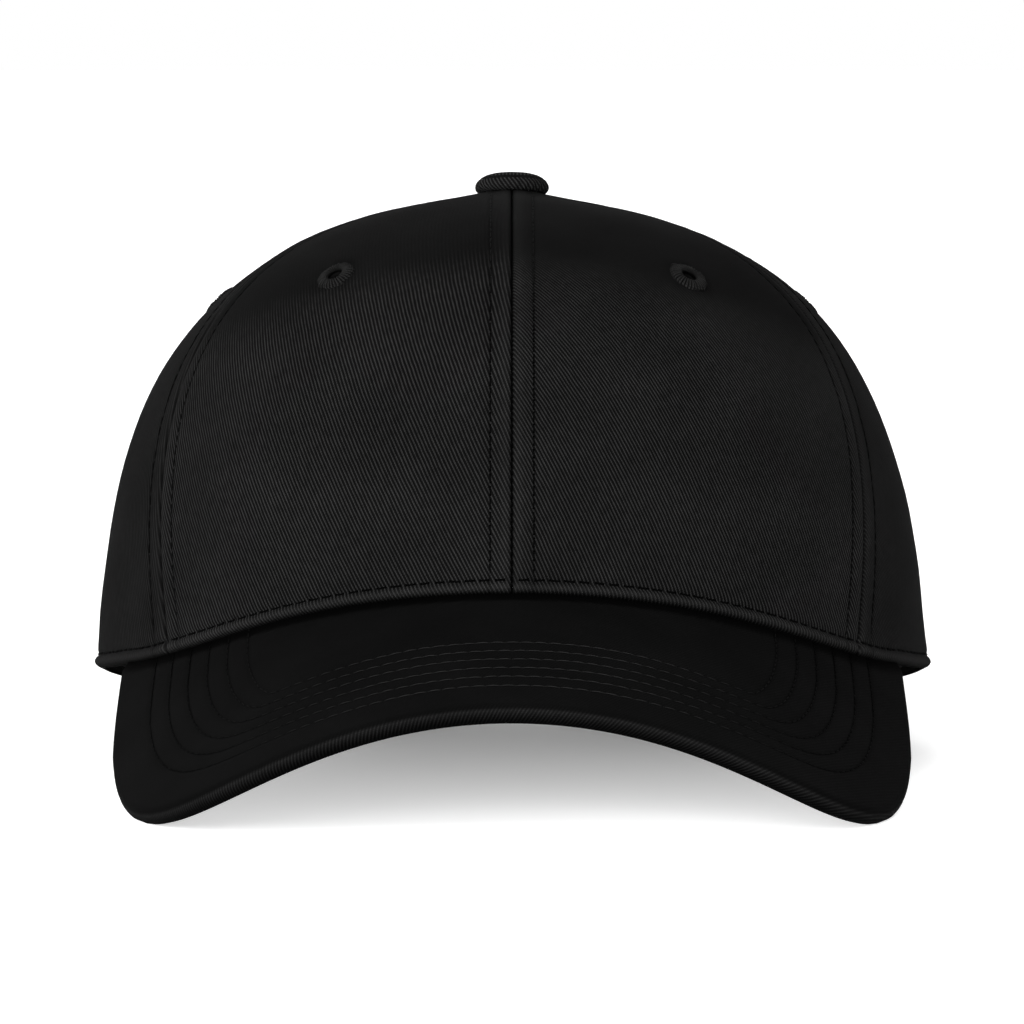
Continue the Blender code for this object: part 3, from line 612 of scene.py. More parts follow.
def panel_columns(kind):
    """Distances from the first seam along the foot of a panel, packed close near its seams."""
    width = float(panel_width(kind, np.array([0.0]))[0])
    near = np.array(SEAM_STEPS)
    low, high = seams(kind, np.array([0.0]))
    low, high = float(low[0]), float(high[0])
    if kind != "rear":
        middle = np.linspace(near[-1], width - near[-1], int((width - 2.0 * near[-1]) / 3.0))[1:-1]
        return np.concatenate([near, middle, (width - near)[::-1]]), width
    corner = (180.0 - OPENING_HALF_ANGLE - low) / (high - low) * width
    plain = np.linspace(near[-1], corner, int((corner - near[-1]) / 2.6))[1:]
    turns = np.radians(np.array([4.0, 9.0, 15.0, 21.0, 28.0, 35.0, 42.0, 49.0, 56.0, 63.0, 70.0, 77.0]))
    arch = corner + (width - corner) * (1.0 - np.cos(turns))
    arch = arch[arch < width - near[-1] - 0.4]
    return np.concatenate([near, plain, arch, (width - near)[::-1]]), width


def panel_fields(kind):
    """Azimuth, rise, drop, seam distance, hem distance and cloth coordinates over a panel's grid."""
    columns, width = panel_columns(kind)
    low0, high0 = (float(v[0]) for v in seams(kind, np.array([0.0])))
    foot = low0 + (high0 - low0) * columns / width
    bottom = lower_edge(foot)
    upper = 46
    rises, drops, hems = [], [], []
    for step in HEM_STEPS:
        rises.append(rise_at(bottom + step))
        drops.append(np.minimum(bottom + step, 0.0))
        hems.append(np.full_like(bottom, step))
    start = rise_at(bottom + HEM_STEPS[-1])
    for k in range(1, upper + 1):
        share = k / upper
        share = share + 0.06 * math.sin(math.pi * share)
        rises.append(start + (TOP_RISE - start) * share)
        drops.append(np.zeros_like(bottom))
        hems.append(np.full_like(bottom, HEM_STEPS[-1] + 3.0 * k))
    rise, drop, hem = np.array(rises), np.array(drops), np.array(hems)
    here = panel_width(kind, rise)
    tight = np.minimum(1.0, here / 32.0)
    band = SEAM_STEPS[-1]
    first = columns[None, :] * tight
    last = here - (width - columns[None, :]) * tight
    middle = band * tight + (columns[None, :] - band) / (width - 2.0 * band) * (here - 2.0 * band * tight)
    place = np.where(columns[None, :] >= width - band, last, middle)
    place = np.where(columns[None, :] <= band, first, place)
    low, high = seams(kind, rise)
    azimuth = low + (high - low) * place / here
    seam = np.minimum(place, here - place)
    centre = (low0 + high0) / 2.0
    table_rise = np.linspace(0.0, 90.0, 181)
    spine = dome(np.full_like(table_rise, centre), table_rise)
    along = np.interp(rise, table_rise, arc(spine)) + drop
    across = place - here / 2.0
    return azimuth, rise, drop, seam, hem, across, along, tight


def eyelet_place(kind, mirror):
    azimuth, rise = EYELETS[kind]
    place = shell(np.array(mirror * azimuth), np.array(rise), np.array(0.0))
    normal = shell_normal(np.array(mirror * azimuth), np.array(rise))
    return place, normal / np.linalg.norm(normal)


def panel_lift(kind, mirror, base, seam, hem, tight):
    """How far a panel's face stands off the even shell, and the slow part of that alone."""
    seed = PANEL_SEED[(kind, mirror)]
    slow = undulation(base, 34.0, seed) * 0.55 + undulation(base, 13.0, seed + 5.0) * 0.16
    slow = slow * np.clip(seam / 9.0, 0.0, 1.0) * np.clip(hem / 7.0, 0.0, 1.0)
    pucker = undulation(base, 2.1, seed + 9.0)
    pucker *= np.exp(-((seam - 4.0) / 2.6) ** 2) * 0.11 + np.exp(-((hem - 2.4) / 1.8) ** 2) * 0.10
    lift = np.interp(seam, SEAM_PROFILE_S, SEAM_PROFILE_D) * np.clip(tight * 1.6, 0.35, 1.0)
    lift = lift + np.interp(hem, HEM_PROFILE_S, HEM_PROFILE_D) * np.clip(seam / 0.8, 0.25, 1.0)
    return lift + slow + pucker, slow


def crown_panel(kind, side, mirror):
    azimuth, rise, drop, seam, hem, across, along, tight = panel_fields(kind)
    base = shell(mirror * azimuth, rise, np.zeros_like(rise), drop)
    lift, slow = panel_lift(kind, mirror, base, seam, hem, tight)
    place, normal = eyelet_place(kind, mirror)
    reach = np.linalg.norm(base - place, axis=-1)
    lift = lift - 0.30 * np.exp(-(reach / 4.6) ** 4) - 0.10 * np.exp(-((reach - 6.5) / 2.5) ** 2)
    outer = shell(mirror * azimuth, rise, -lift, drop)
    inner_lift = np.interp(np.maximum(seam, 0.0), (0.0, 1.2, 3.0), (-2.3, -1.25, -1.0)) + slow
    inward = np.where(seam < 1.2, (1.2 - seam) * 0.8 * tight, 0.0)
    width = panel_width(kind, rise)
    low, high = seams(kind, rise)
    towards = np.where(azimuth < (low + high) / 2.0, 1.0, -1.0)
    inner_azimuth = azimuth + towards * inward * (high - low) / width
    inner = shell(mirror * inner_azimuth, rise, -inner_lift, drop)
    outer[..., 2] = np.maximum(outer[..., 2], 0.02)
    inner[..., 2] = np.maximum(inner[..., 2], 0.05)
    across = across * mirror
    uv = leaned(across, along, WALE_LEAN[mirror]) * WALE_SCALE[mirror]
    wear_and_highlight = np.exp(-((seam - 1.4) / 1.2) ** 2) * 0.18 + np.exp(-((hem - 1.3) / 0.8) ** 2) * 0.42
    # The top of the front panels: weave worn smooth, and painted shade darkening it.
    worn_smooth_and_shaded = np.clip((rise - 45.5 + 0.22 * azimuth) / 10.0, 0.0, 1.0) * float(kind == "front")
    bold = WEAVE_BOLD[kind] * (1.0 - 0.96 * worn_smooth_and_shaded)
    bold = bold + (1.0 - bold) * np.exp(-(hem / 4.0) ** 2)
    # Painted shade: darker under the hem's roll, in the hem stitch valley, along seams and their stitch
    # lines, round the eyelet, over the front panels' top and over the right side panel.
    painted_shade = 0.12 * np.exp(-((hem - 3.0) / 0.34) ** 2) * np.clip(seam / 1.5, 0.3, 1.0)
    painted_shade = painted_shade + 0.9 * np.exp(-(hem / 0.55) ** 2)
    painted_shade = painted_shade + 0.7 * np.exp(-(seam / 0.35) ** 2) + 0.28 * np.exp(-((seam - 5.0) / 0.4) ** 2)
    painted_shade = painted_shade + 0.16 * worn_smooth_and_shaded + 0.45 * np.exp(-((reach - 4.9) / 0.6) ** 2)
    if kind == "side":
        painted_shade = painted_shade + (0.17 if mirror < 0 else 0.0)
    made = slab_object(f"{kind}_crown_panel_{side}", outer, inner, TWILL, uv, np.clip(wear_and_highlight, 0.0, 1.0),
                       relief=bold, painted_shade=np.clip(painted_shade, 0.0, 0.9))
    made = pierced(made, place, normal, 1.55)
    settle(made, [f"{kind}_panel_{side}"], "cap")
    cells = np.cross(base[1:, :-1] - base[:-1, :-1], base[:-1, 1:] - base[:-1, :-1])
    area = float(np.sum(np.linalg.norm(cells, axis=-1)))
    return made, area * MM * MM


def pierced(made, place, normal, radius):
    """Cuts a round hole through a sheet."""
    bm = bmesh.new()
    bmesh.ops.create_cone(bm, cap_ends=True, segments=28, radius1=radius * MM, radius2=radius * MM,
                          depth=12.0 * MM)
    mesh = bpy.data.meshes.new("punch")
    bm.to_mesh(mesh)
    bm.free()
    punch = bpy.data.objects.new("punch", mesh)
    punch.rotation_euler = Vector(normal).to_track_quat("Z", "Y").to_euler()
    punch.location = Vector(place) * MM
    bpy.context.scene.collection.objects.link(punch)
    hole = made.modifiers.new("hole", "BOOLEAN")
    hole.object = punch
    hole.solver = "EXACT"
    bpy.context.view_layer.update()
    graph = bpy.context.evaluated_depsgraph_get()
    cut = bpy.data.meshes.new_from_object(made.evaluated_get(graph))
    made.modifiers.clear()
    made.data = cut
    bpy.data.objects.remove(punch, do_unlink=True)
    return made


def seam_run(seam, rises, offset, mirror, kind):
    """A stitched line beside a seam, lying on the cloth; offset is its distance from the seam, in mm."""
    azimuth = seam(rises)
    radius = np.linalg.norm(dome(azimuth, rises)[..., :2], axis=-1)
    width = panel_width(kind, rises)
    tight = np.minimum(1.0, width / 32.0)
    offset = offset * np.minimum(1.0, width / 12.5)
    turn = mirror * (azimuth + np.degrees(offset / radius))
    base = shell(turn, rises, np.zeros_like(rises))
    far = np.full_like(rises, 30.0)
    lift, _ = panel_lift(kind, mirror, base, np.abs(offset), far, tight)
    return shell(turn, rises, -lift - STITCH_RIDE), shell_normal(turn, rises)


# Painted light level for the crown's topstitches: lighter toward the top.
def lighter_upward(spot):
    return 0.12 + 0.6 * min(max((spot[2] - 101.0) / 12.0, 0.0), 1.0)


# Painted highlight level for the visor's stitch rows: lighter toward the visor's middle.
def lighter_inward(spot):
    return min(max((68.0 - abs(spot[0])) / 48.0, 0.0), 1.0)


def crown_stitches():
    def rises_from(seam_azimuth, top=84.2):
        bottom = float(lower_edge(np.array([min(seam_azimuth, 179.9)]))[0])
        start = float(rise_at(bottom + HEM_STITCH_UP + 1.0))
        return np.linspace(start, top, 90)

    for side, mirror in (("left", 1), ("right", -1)):
        runs = {"front": [], "side": [], "rear": []}
        rises = rises_from(0.0)
        runs["front"].append(seam_run(lambda r: np.zeros_like(r), rises, STITCH_IN, mirror, "front"))
        rises = rises_from(FRONT_SEAM)
        runs["front"].append(seam_run(front_seam, rises, -STITCH_IN, mirror, "front"))
        runs["side"].append(seam_run(front_seam, rises, STITCH_IN, mirror, "side"))
        rises = rises_from(REAR_SEAM)
        runs["side"].append(seam_run(rear_seam, rises, -STITCH_IN, mirror, "side"))
        runs["rear"].append(seam_run(rear_seam, rises, STITCH_IN, mirror, "rear"))
        rises = rises_from(180.0)
        rises = rises[rises > rises[0] + 2.0]
        runs["rear"].append(seam_run(lambda r: np.full_like(r, 180.0), rises, -STITCH_IN, mirror, "rear"))
        spans = {"front": (0.6, FRONT_SEAM - 0.7), "side": (FRONT_SEAM + 0.7, REAR_SEAM - 0.8),
                 "rear": (REAR_SEAM + 0.8, 180.0 - OPENING_HALF_ANGLE - 1.0)}
        for kind, (first, last) in spans.items():
            turns = np.linspace(first, last, 90)
            heights = hem_height(turns) + HEM_STITCH_UP
            base = wall(mirror * turns, heights, np.zeros_like(turns))
            seam = np.radians(np.minimum(turns - first, last - turns)) * 90.0 + 1.0
            up = np.full_like(turns, HEM_STITCH_UP)
            lift, _ = panel_lift(kind, mirror, base, seam, up, np.ones_like(turns))
            path = wall(mirror * turns, heights, -lift - STITCH_RIDE)
            hem_run = (path, shell_normal(mirror * turns, rise_at(heights)))
            # Hem stitches get a low painted light level, painted shade in their valley; topstitches are
            # painted lighter upward.
            stitch_mesh(f"{kind}_hem_stitch_{side}", [hem_run], 3.1, 2.5, 0.22, THREAD,
                        seed=len(kind) * 11 + mirror, painted_light_tone=lambda p: 0.05)
            stitch_mesh(f"{kind}_topstitch_{side}", runs[kind], 2.75, 2.5, 0.14, THREAD,
                        seed=len(kind) * 7 + mirror, painted_light_tone=lighter_upward)


# ------------------------------------------------------------------ eyelets


def eyelet(kind, side, mirror):
    """Buttonhole stitches round a hole: each a cord from the hole's edge out over the cloth."""
    place, normal = eyelet_place(kind, mirror)
    rng = np.random.default_rng(int(PANEL_SEED[(kind, mirror)]))
    up = np.array([0.0, 0.0, 1.0]) - normal * normal[2]
    up /= np.linalg.norm(up)
    right = np.cross(up, normal)
    cords, fine = 34, 5
    rows = ((1.6, -2.3), (1.58, -0.6), (1.6, 0.1), (1.78, 0.5), (2.3, 0.78), (3.1, 0.74), (3.9, 0.46),
            (4.3, 0.05), (4.4, -0.35), (3.9, -0.5), (2.3, -0.55), (2.0, -2.3))
    lengths = 1.0 + rng.normal(0.0, 0.028, cords)
    heights = 1.0 + rng.normal(0.0, 0.05, cords)
    points, uvs, painted_darkness = [], [], []
    for index, (radius, height) in enumerate(rows):
        for k in range(cords * fine):
            c, within = divmod(k, fine)
            ridge = math.sin(math.pi * within / fine)
            turn = 2.0 * math.pi * k / (cords * fine)
            shown = 1.0 if 2 <= index <= 8 else 0.0
            reach = radius * (1.0 + (lengths[c] - 1.0) * (1.0 if index >= 5 else 0.0) * shown)
            high = height * (heights[c] if 3 <= index <= 6 else 1.0) + shown * 0.30 * (ridge - 0.6)
            slant = 0.10 * (radius - 1.2) / 3.2
            outward = right * math.cos(turn + slant) + up * math.sin(turn + slant)
            spot = place + outward * reach + normal * high
            points.append(spot)
            uvs.append((radius, turn * 3.0))
            # Painted shade: the hole and the gaps between the cords are darkened.
            between = (1.0 - ridge) * 1.15 + float(index >= 6) * 0.25 * rng.random()
            painted_darkness.append(1.0 if index < 3 or index > 8 else 0.55 if index == 3 else min(between, 0.95))
    ring = cords * fine
    faces = []
    for i in range(len(rows)):
        j = (i + 1) % len(rows)
        for k in range(ring):
            nxt = (k + 1) % ring
            faces.append((i * ring + k, i * ring + nxt, j * ring + nxt, j * ring + k))
    made = mesh_object(f"{kind}_stitched_eyelet_{side}", np.array(points), faces, EYELET_THREAD,
                       np.array(uvs), smooth=80.0, painted_shade=np.array(painted_darkness))
    return settle(made, [f"eyelet_{kind}_{side}"], "cap")


# ------------------------------------------------------------------ inside of the crown


def sheet_on_shell(name, azimuth, rise, depth, thickness, paint):
    outer = shell(azimuth, rise, depth)
    inner = shell(azimuth, rise, depth + thickness)
    travel_u = np.array([arc(row) for row in outer])
    travel_v = np.array([arc(column) for column in outer.swapaxes(0, 1)]).T
    uv = np.stack([travel_u, travel_v], -1)
    return slab_object(name, outer, inner, paint, uv)


def seam_tape(name, node_name, seam, mirror, foot):
    rises = np.linspace(float(rise_at(max(foot, 1.0))), 84.0, 60)
    azimuth = seam(rises)
    radius = np.linalg.norm(dome(azimuth, rises)[..., :2], axis=-1)
    across = np.array([-6.0, -5.7, -4.6, -4.2, -3.8, -2.0, -0.8, 0.0, 0.8, 2.0, 3.8, 4.2, 4.6, 5.7, 6.0])
    puff = np.array([0.15, 0.0, 0.05, 0.22, 0.05, -0.1, -0.2, -0.25, -0.2, -0.1, 0.05, 0.22, 0.05, 0.0, 0.15])
    turns = mirror * (azimuth[:, None] + np.degrees(across[None, :] / radius[:, None]))
    wrinkle = 0.06 * np.sin(np.arange(60)[:, None] * 1.9) * np.ones_like(turns)
    outer = shell(turns, rises[:, None], np.full_like(turns, 2.95))
    inner = shell(turns, rises[:, None], 3.55 - puff[None, :] * 0.8 + wrinkle * 0.5)
    along = arc(outer[:, 7])
    uv = np.stack([np.broadcast_to(across, turns.shape), np.broadcast_to(along[:, None], turns.shape)], -1)
    made = slab_object(name, outer, inner, TAPE, uv)
    settle(made, [node_name], "cap")
    return made, float(along[-1])


def buckram(side, mirror):
    """Open-weave stiffener behind a front panel."""
    shares = np.linspace(0.045, 0.955, 26)
    rows = []
    foot = FRONT_SEAM * shares
    bottom = hem_height(foot, 1.3) + 4.0
    start = rise_at(bottom)
    for k in range(31):
        rises = start + (74.0 - start) * k / 30.0
        rows.append((front_seam(rises) * shares, rises))
    azimuth = mirror * np.array([row[0] for row in rows])
    rise = np.array([row[1] for row in rows])
    made = sheet_on_shell(f"front_stiffener_{side}", azimuth, rise, np.full_like(rise, 1.35), 0.7, BUCKRAM)
    place, normal = eyelet_place("front", mirror)
    made = pierced(made, place, normal, 2.1)
    return settle(made, [f"front_buckram_{side}"], "cap")


def sweatband():
    """Folded twill over a soft pad, with a stitched top edge."""
    reach = 180.0 - OPENING_HALF_ANGLE - 1.6
    turns = np.linspace(-reach, reach, 220)
    low = hem_height(turns, 4.2) + 1.0
    profile = ((4.25, 0.3), (4.2, 6.0), (4.2, 16.0), (4.2, 26.0), (4.3, 32.4), (4.9, 33.0), (5.5, 32.6),
               (5.55, 31.0), (5.25, 29.8), (5.2, 29.2), (5.5, 28.0), (5.95, 22.0), (6.05, 16.0), (5.95, 9.0),
               (5.6, 3.0), (5.2, 0.8), (4.8, 0.2))
    sections, uvs = [], []
    travel = arc(wall(turns, low + 10.0, np.full_like(turns, 4.2)))
    around = arc(np.array(profile))
    for i, turn in enumerate(turns):
        ring = []
        for depth, high in profile:
            pad = 0.12 * math.sin(travel[i] / 7.0) * (1.0 if 5.3 < depth else 0.0)
            ring.append(wall(np.array(turn), np.array(low[i] + high), np.array(depth + pad)))
        sections.append(ring)
        uvs.append(leaned(np.full_like(around, travel[i]), around, 0.45))
    sections = np.array(sections)
    sections[..., 2] = np.maximum(sections[..., 2], 0.3)
    made = swept_object("padded_sweatband", sections, BAND, np.array(uvs))
    settle(made, ["sweatband"], "cap")
    heights = low + 29.5
    path = wall(turns, heights, np.full_like(turns, 5.28))
    normals = -shell_normal(turns, rise_at(heights))
    stitch_mesh("sweatband_topstitch", [(path, normals)], 3.2, 2.5, 0.2, THREAD, seed=5)
    return made


def inner_label():
    turns = np.linspace(-7.8, 7.8, 26)
    low = float(hem_height(np.array([0.0]), 4.2)[0]) + 10.0
    heights = np.linspace(low, low + 14.0, 16)
    azimuth, height = np.meshgrid(turns, heights)
    edge = np.minimum(height - low, low + 14.0 - height)
    edge = np.minimum(np.minimum(azimuth + 7.8, 7.8 - azimuth) * 1.5, edge)
    depth = 6.1 + 0.18 * np.sin(np.clip(edge, 0.0, 1.6) / 1.6 * math.pi / 2.0)
    made = sheet_on_shell("blank_label", azimuth, rise_at(height), depth, 0.5, LABEL)
    settle(made, ["inner_label"], "cap")
    return made


# ------------------------------------------------------------------ visor


def visor_outline(count):
    k = np.linspace(0.0, 1.0, 4001)
    share = k ** VISOR_SIDE_POWER / (k ** VISOR_SIDE_POWER + (1.0 - k) ** VISOR_FRONT_POWER)
    x = VISOR_HALF_CHORD * share ** (1.0 / VISOR_SIDE_POWER)
    ahead = VISOR_OUTLINE_CENTRE + VISOR_OUTLINE_LENGTH * (1.0 - share) ** (1.0 / VISOR_FRONT_POWER)
    x = x * (1.0 + VISOR_FLARE * np.clip((ahead - VISOR_END_AHEAD) / VISOR_FLARE_LENGTH, 0.0, 1.0))
    keep = ahead >= VISOR_END_AHEAD
    half = np.stack([x[keep], ahead[keep]], -1)
    whole = np.concatenate([half[1:][::-1] * np.array([-1.0, 1.0]), half])
    travel = arc(whole)
    spots = np.linspace(0.0, travel[-1], count)
    return np.stack([np.interp(spots, travel, whole[:, 0]), np.interp(spots, travel, whole[:, 1])], -1)


def visor_root(shares, depth):
    azimuth = VISOR_END_AZIMUTH * (2.0 * shares - 1.0)
    place = wall(azimuth, hem_height(azimuth, depth), np.full_like(azimuth, depth)) - ORIGIN
    return np.stack([place[:, 0], VISOR_ROOT_AHEAD - place[:, 1]], -1)


def visor_lines():
    """Rim and root plan points of the lines that the visor's sections follow."""
    rim = visor_outline(VISOR_STATIONS)
    root = visor_root(np.linspace(0.0, 1.0, VISOR_STATIONS), 2.2)
    span = np.linalg.norm(rim - root, axis=1)
    return rim, root, span


def rim_distance(points):
    """Distance over the surface from the visor's edge, near enough: to the nearest point of its rim."""
    fine = visor_outline(1200)
    rim = visor_at(fine[:, 0], fine[:, 1], np.zeros(len(fine)))
    flat = points.reshape(-1, 3)
    best = np.empty(len(flat))
    for start in range(0, len(flat), 2000):
        part = flat[start:start + 2000]
        best[start:start + 2000] = np.sqrt(((part[:, None, :] - rim[None]) ** 2).sum(-1).min(1))
    return best.reshape(points.shape[:-1])


def visor_relief(surface, distance):
    """Slow unevenness, and the shallow valleys that the stitch rows pull into the visor's cloth."""
    relief = undulation(surface, 26.0, 71.0) * 0.22 + undulation(surface, 8.0, 75.0) * 0.04
    relief = relief * np.clip((distance - 2.5) / 7.0, 0.0, 1.0)
    for row in VISOR_ROW_DEPTHS:
        relief = relief - 0.17 * np.exp(-((distance - row) / 0.7) ** 2)
    return relief


def laid_flat(plan):
    """Cloth coordinates of plan points: distance across over the arch, and distance back."""
    x = np.linspace(-100.0, 100.0, 401)
    slope = np.gradient(visor_height(x, np.zeros_like(x)), x)
    travel = np.concatenate([[0.0], np.cumsum(np.hypot(1.0, (slope[1:] + slope[:-1]) / 2.0) * np.diff(x))])
    return np.stack([np.interp(plan[..., 0], x, travel - travel[200]), -plan[..., 1]], -1)


def visor_fabric(name, node_name, underside, paint):
    rim, root, span = visor_lines()
    if underside:
        nose = [(2.0, 3.5), (2.3, 3.36)]
        inside = [(2.6, 3.9), (2.1, 3.86)]
    else:
        nose = []
        inside = [(1.5, 0.75), (0.85, 1.3), (0.75, 2.0), (1.0, 2.8), (1.7, 3.4)]
        for angle in (-80, -60, -40, -20, 0, 18, 36, 54, 70, 82):
            turn = math.radians(angle)
            nose.append((VISOR_ROLL - VISOR_ROLL * math.cos(turn), VISOR_ROLL - VISOR_ROLL * math.sin(turn)))
    flat = np.concatenate([np.arange(2.8, 8.0, 1.2), np.arange(8.4, 44.0, 0.62), np.arange(45.0, 78.0, 1.2)])
    top_depth = 3.3 if underside else 0.0
    bottom_depth = VISOR_THICKNESS if underside else 0.6
    sections, marks, outward = [], [], []
    for i in range(len(rim)):
        direction = (root[i] - rim[i]) / span[i]
        stations = list(nose)
        stations += [(min(d, span[i]), top_depth) for d in flat]
        stations += [(min(d, span[i]), bottom_depth) for d in flat[::-1]]
        stations += inside
        sections.append([(*(rim[i] + direction * d), z) for d, z in stations])
        marks.append([d for d, _ in stations])
        outward.append((-direction[0], direction[1]))
    plan = np.array(sections)
    marks = np.array(marks)
    surface = visor_at(plan[..., 0], plan[..., 1], np.zeros(plan.shape[:2]))
    distance = rim_distance(surface)
    count = len(flat)
    first = len(nose)
    show = np.zeros(plan.shape[1])
    if underside:
        show[first + count:first + 2 * count] = -1.0
    else:
        show[first:first + count] = 1.0
    relief = visor_relief(surface, distance) * np.abs(show)
    depth = plan[..., 2] - relief * np.where(show < 0.0, -1.0, 1.0)
    sections = visor_at(plan[..., 0], plan[..., 1], depth)
    sections[..., 2] = np.maximum(sections[..., 2], 0.03)
    around = arc(sections[len(rim) // 2])
    cloth_place = laid_flat(plan)
    for k in range(first):
        cloth_place[:, k] = cloth_place[:, first] + np.array(outward) * (around[first] - around[k])
    across, back = cloth_place[..., 0], cloth_place[..., 1]
    uv = np.stack([across * math.sin(VISOR_WALE) - back * math.cos(VISOR_WALE),
                   across * math.cos(VISOR_WALE) + back * math.sin(VISOR_WALE)], -1)
    wear_and_highlight = np.zeros_like(marks)
    # Wear and painted highlight on the upper front of the edge's roll.
    if not underside:
        wear_and_highlight[:, :first] = np.interp(np.arange(first), (3, 4, 5, 6, 7), (0.0, 0.12, 0.35, 0.65, 0.1))
    bold = np.where(np.arange(plan.shape[1]) < first - 3, 1.0, 0.14) * np.ones_like(marks)
    painted_shade = np.zeros_like(marks)
    # Painted shade along the stitch rows, on top and underneath.
    for row in VISOR_ROW_DEPTHS:
        painted_shade = painted_shade + 0.30 * np.exp(-((distance - row) / 0.5) ** 2) * np.abs(show)
    if not underside:
        # Painted shade on the lower part of the edge's roll, and painted shadow on the visor just in front of
        # the crown's hem.
        painted_shade[:, :first] += np.interp(np.arange(first), (0, 2, 3, 4, 5, 6, 7, 9),
                                       (0.95, 0.9, 0.75, 0.5, 0.25, 0.0, 0.3, 0.25))
        root_gap = span[:, None] - marks
        painted_shade += 0.92 * np.clip((5.4 - root_gap) / 0.9, 0.0, 1.0) * show
    # Painted shade over the visor's sides.
    edge = np.clip((np.abs(surface[..., 0]) - 48.0) / 30.0, 0.0, 1.0)
    painted_shade = painted_shade + 0.08 * edge
    made = swept_object(name, sections, paint, uv, np.clip(wear_and_highlight, 0.0, 1.0), smooth=75.0, relief=bold,
                        painted_shade=np.clip(painted_shade, 0.0, 0.96))
    settle(made, [node_name], "cap")
    return made


def visor_stitches(name, depth, lift, flip, seed):
    """Parallel rows inside the visor's edge, running into the crown at both ends."""
    rim, root, span = visor_lines()
    shares = np.linspace(0.0, 1.0, 240)
    runs = []
    grid = rim[:, None, :] + (root - rim)[:, None, :] * shares[None, :, None]
    surface = visor_at(grid[..., 0], grid[..., 1], np.zeros(grid.shape[:2]))
    distance = rim_distance(surface)
    for row in VISOR_ROW_DEPTHS:
        spots = []
        for i in range(len(rim)):
            line = distance[i]
            cross = np.nonzero((line[:-1] < row) & (line[1:] >= row))[0]
            if len(cross) == 0 or span[i] < 1.0:
                continue
            j = cross[0]
            part = (row - line[j]) / (line[j + 1] - line[j])
            spot = grid[i, j] + (grid[i, j + 1] - grid[i, j]) * part
            spots.append(spot)
        spots = np.array(spots)
        travel = arc(spots)
        even = np.linspace(0, travel[-1], 200)
        x, ahead = (np.interp(even, travel, spots[:, k]) for k in range(2))
        surface = visor_at(x, ahead, 0.0)
        relief = visor_relief(surface, np.full(200, row))
        path = visor_at(x, ahead, depth + (relief if flip else -relief))
        normals = visor_at(x, ahead, -1.0) - surface
        runs.append((path, normals * (-1.0 if flip else 1.0)))
    return stitch_mesh(name, runs, 3.0, 2.75, 0.13, LIT_VISOR_THREAD, lift=lift, seed=seed,
                       painted_light_tone=lighter_inward)


# ------------------------------------------------------------------ button


def lathe_object(name, profile, segments, foot, paint, ridge=None, smooth=60.0):
    """Turned about the crown's upright axis; ridge(angle, index) adds to the radius."""
    side, back = np.array([1.0, 0.0, 0.0]), -FORWARD
    points, uvs, faces, starts = [], [], [], []
    along = arc(np.array(profile))
    for index, (radius, height) in enumerate(profile):
        starts.append(len(points))
        if radius == 0.0:
            points.append(foot + UPWARD * height)
            uvs.append((0.0, 0.0))
            continue
        for k in range(segments):
            turn = 2.0 * math.pi * k / segments
            reach = radius + (ridge(turn, index) if ridge else 0.0)
            points.append(foot + (side * math.cos(turn) + back * math.sin(turn)) * reach + UPWARD * height)
            if height > 108.6:
                uvs.append((radius * math.cos(turn), radius * math.sin(turn)))
            else:
                round_way = turn * 8.1
                uvs.append((round_way * 0.82 - along[index] * 0.57, along[index] * 0.82 + round_way * 0.57))
    rings = []
    for index, (radius, _) in enumerate(profile):
        rings.append([starts[index]] if radius == 0.0 else [starts[index] + k for k in range(segments)])
    pairs = list(zip(rings, rings[1:]))
    if not (profile[0][0] == 0.0 and profile[-1][0] == 0.0):
        pairs.append((rings[-1], rings[0]))
    for low, high in pairs:
        for k in range(segments):
            nxt = (k + 1) % segments
            corners = (low[k % len(low)], low[nxt % len(low)], high[nxt % len(high)], high[k % len(high)])
            faces.append(tuple(dict.fromkeys(corners)))
    return mesh_object(name, np.array(points), faces, paint, np.array(uvs), smooth=smooth)


def button_cover():
    profile = ((0.0, 110.35), (1.5, 110.32), (3.0, 110.2), (4.6, 109.98), (5.9, 109.6), (6.9, 109.05),
               (7.7, 108.35), (8.1, 107.65), (8.15, 107.0), (8.0, 106.4), (7.6, 105.9), (7.2, 105.7),
               (7.05, 106.1), (7.3, 106.6), (7.5, 107.2), (7.3, 107.8), (6.5, 108.5), (5.4, 109.05),
               (3.6, 109.5), (0.0, 109.7))

    def folds(turn, index):
        share = max(0.0, 1.0 - abs(index - 9.5) / 3.6)
        return share * (0.16 * math.sin(turn * 26.0 + index * 0.9) + 0.06 * math.sin(turn * 11.0))

    made = lathe_object("covered_button", profile, 208, ORIGIN, LIT_BUTTON_TWILL, folds)
    return settle(made, ["button_cover"], "cap")


# ------------------------------------------------------------------ closure


def cone(azimuth, height, depth):
    """The strap's surface: a cone about the crown's upright axis."""
    azimuth, height, depth = np.broadcast_arrays(azimuth, height, depth)
    turn = np.radians(azimuth)
    radius = STRAP_RADIUS - depth - STRAP_LEAN * height
    local = np.stack([radius * np.sin(turn), -STRAP_BACK - radius * np.cos(turn), height], -1)
    return to_world(local)


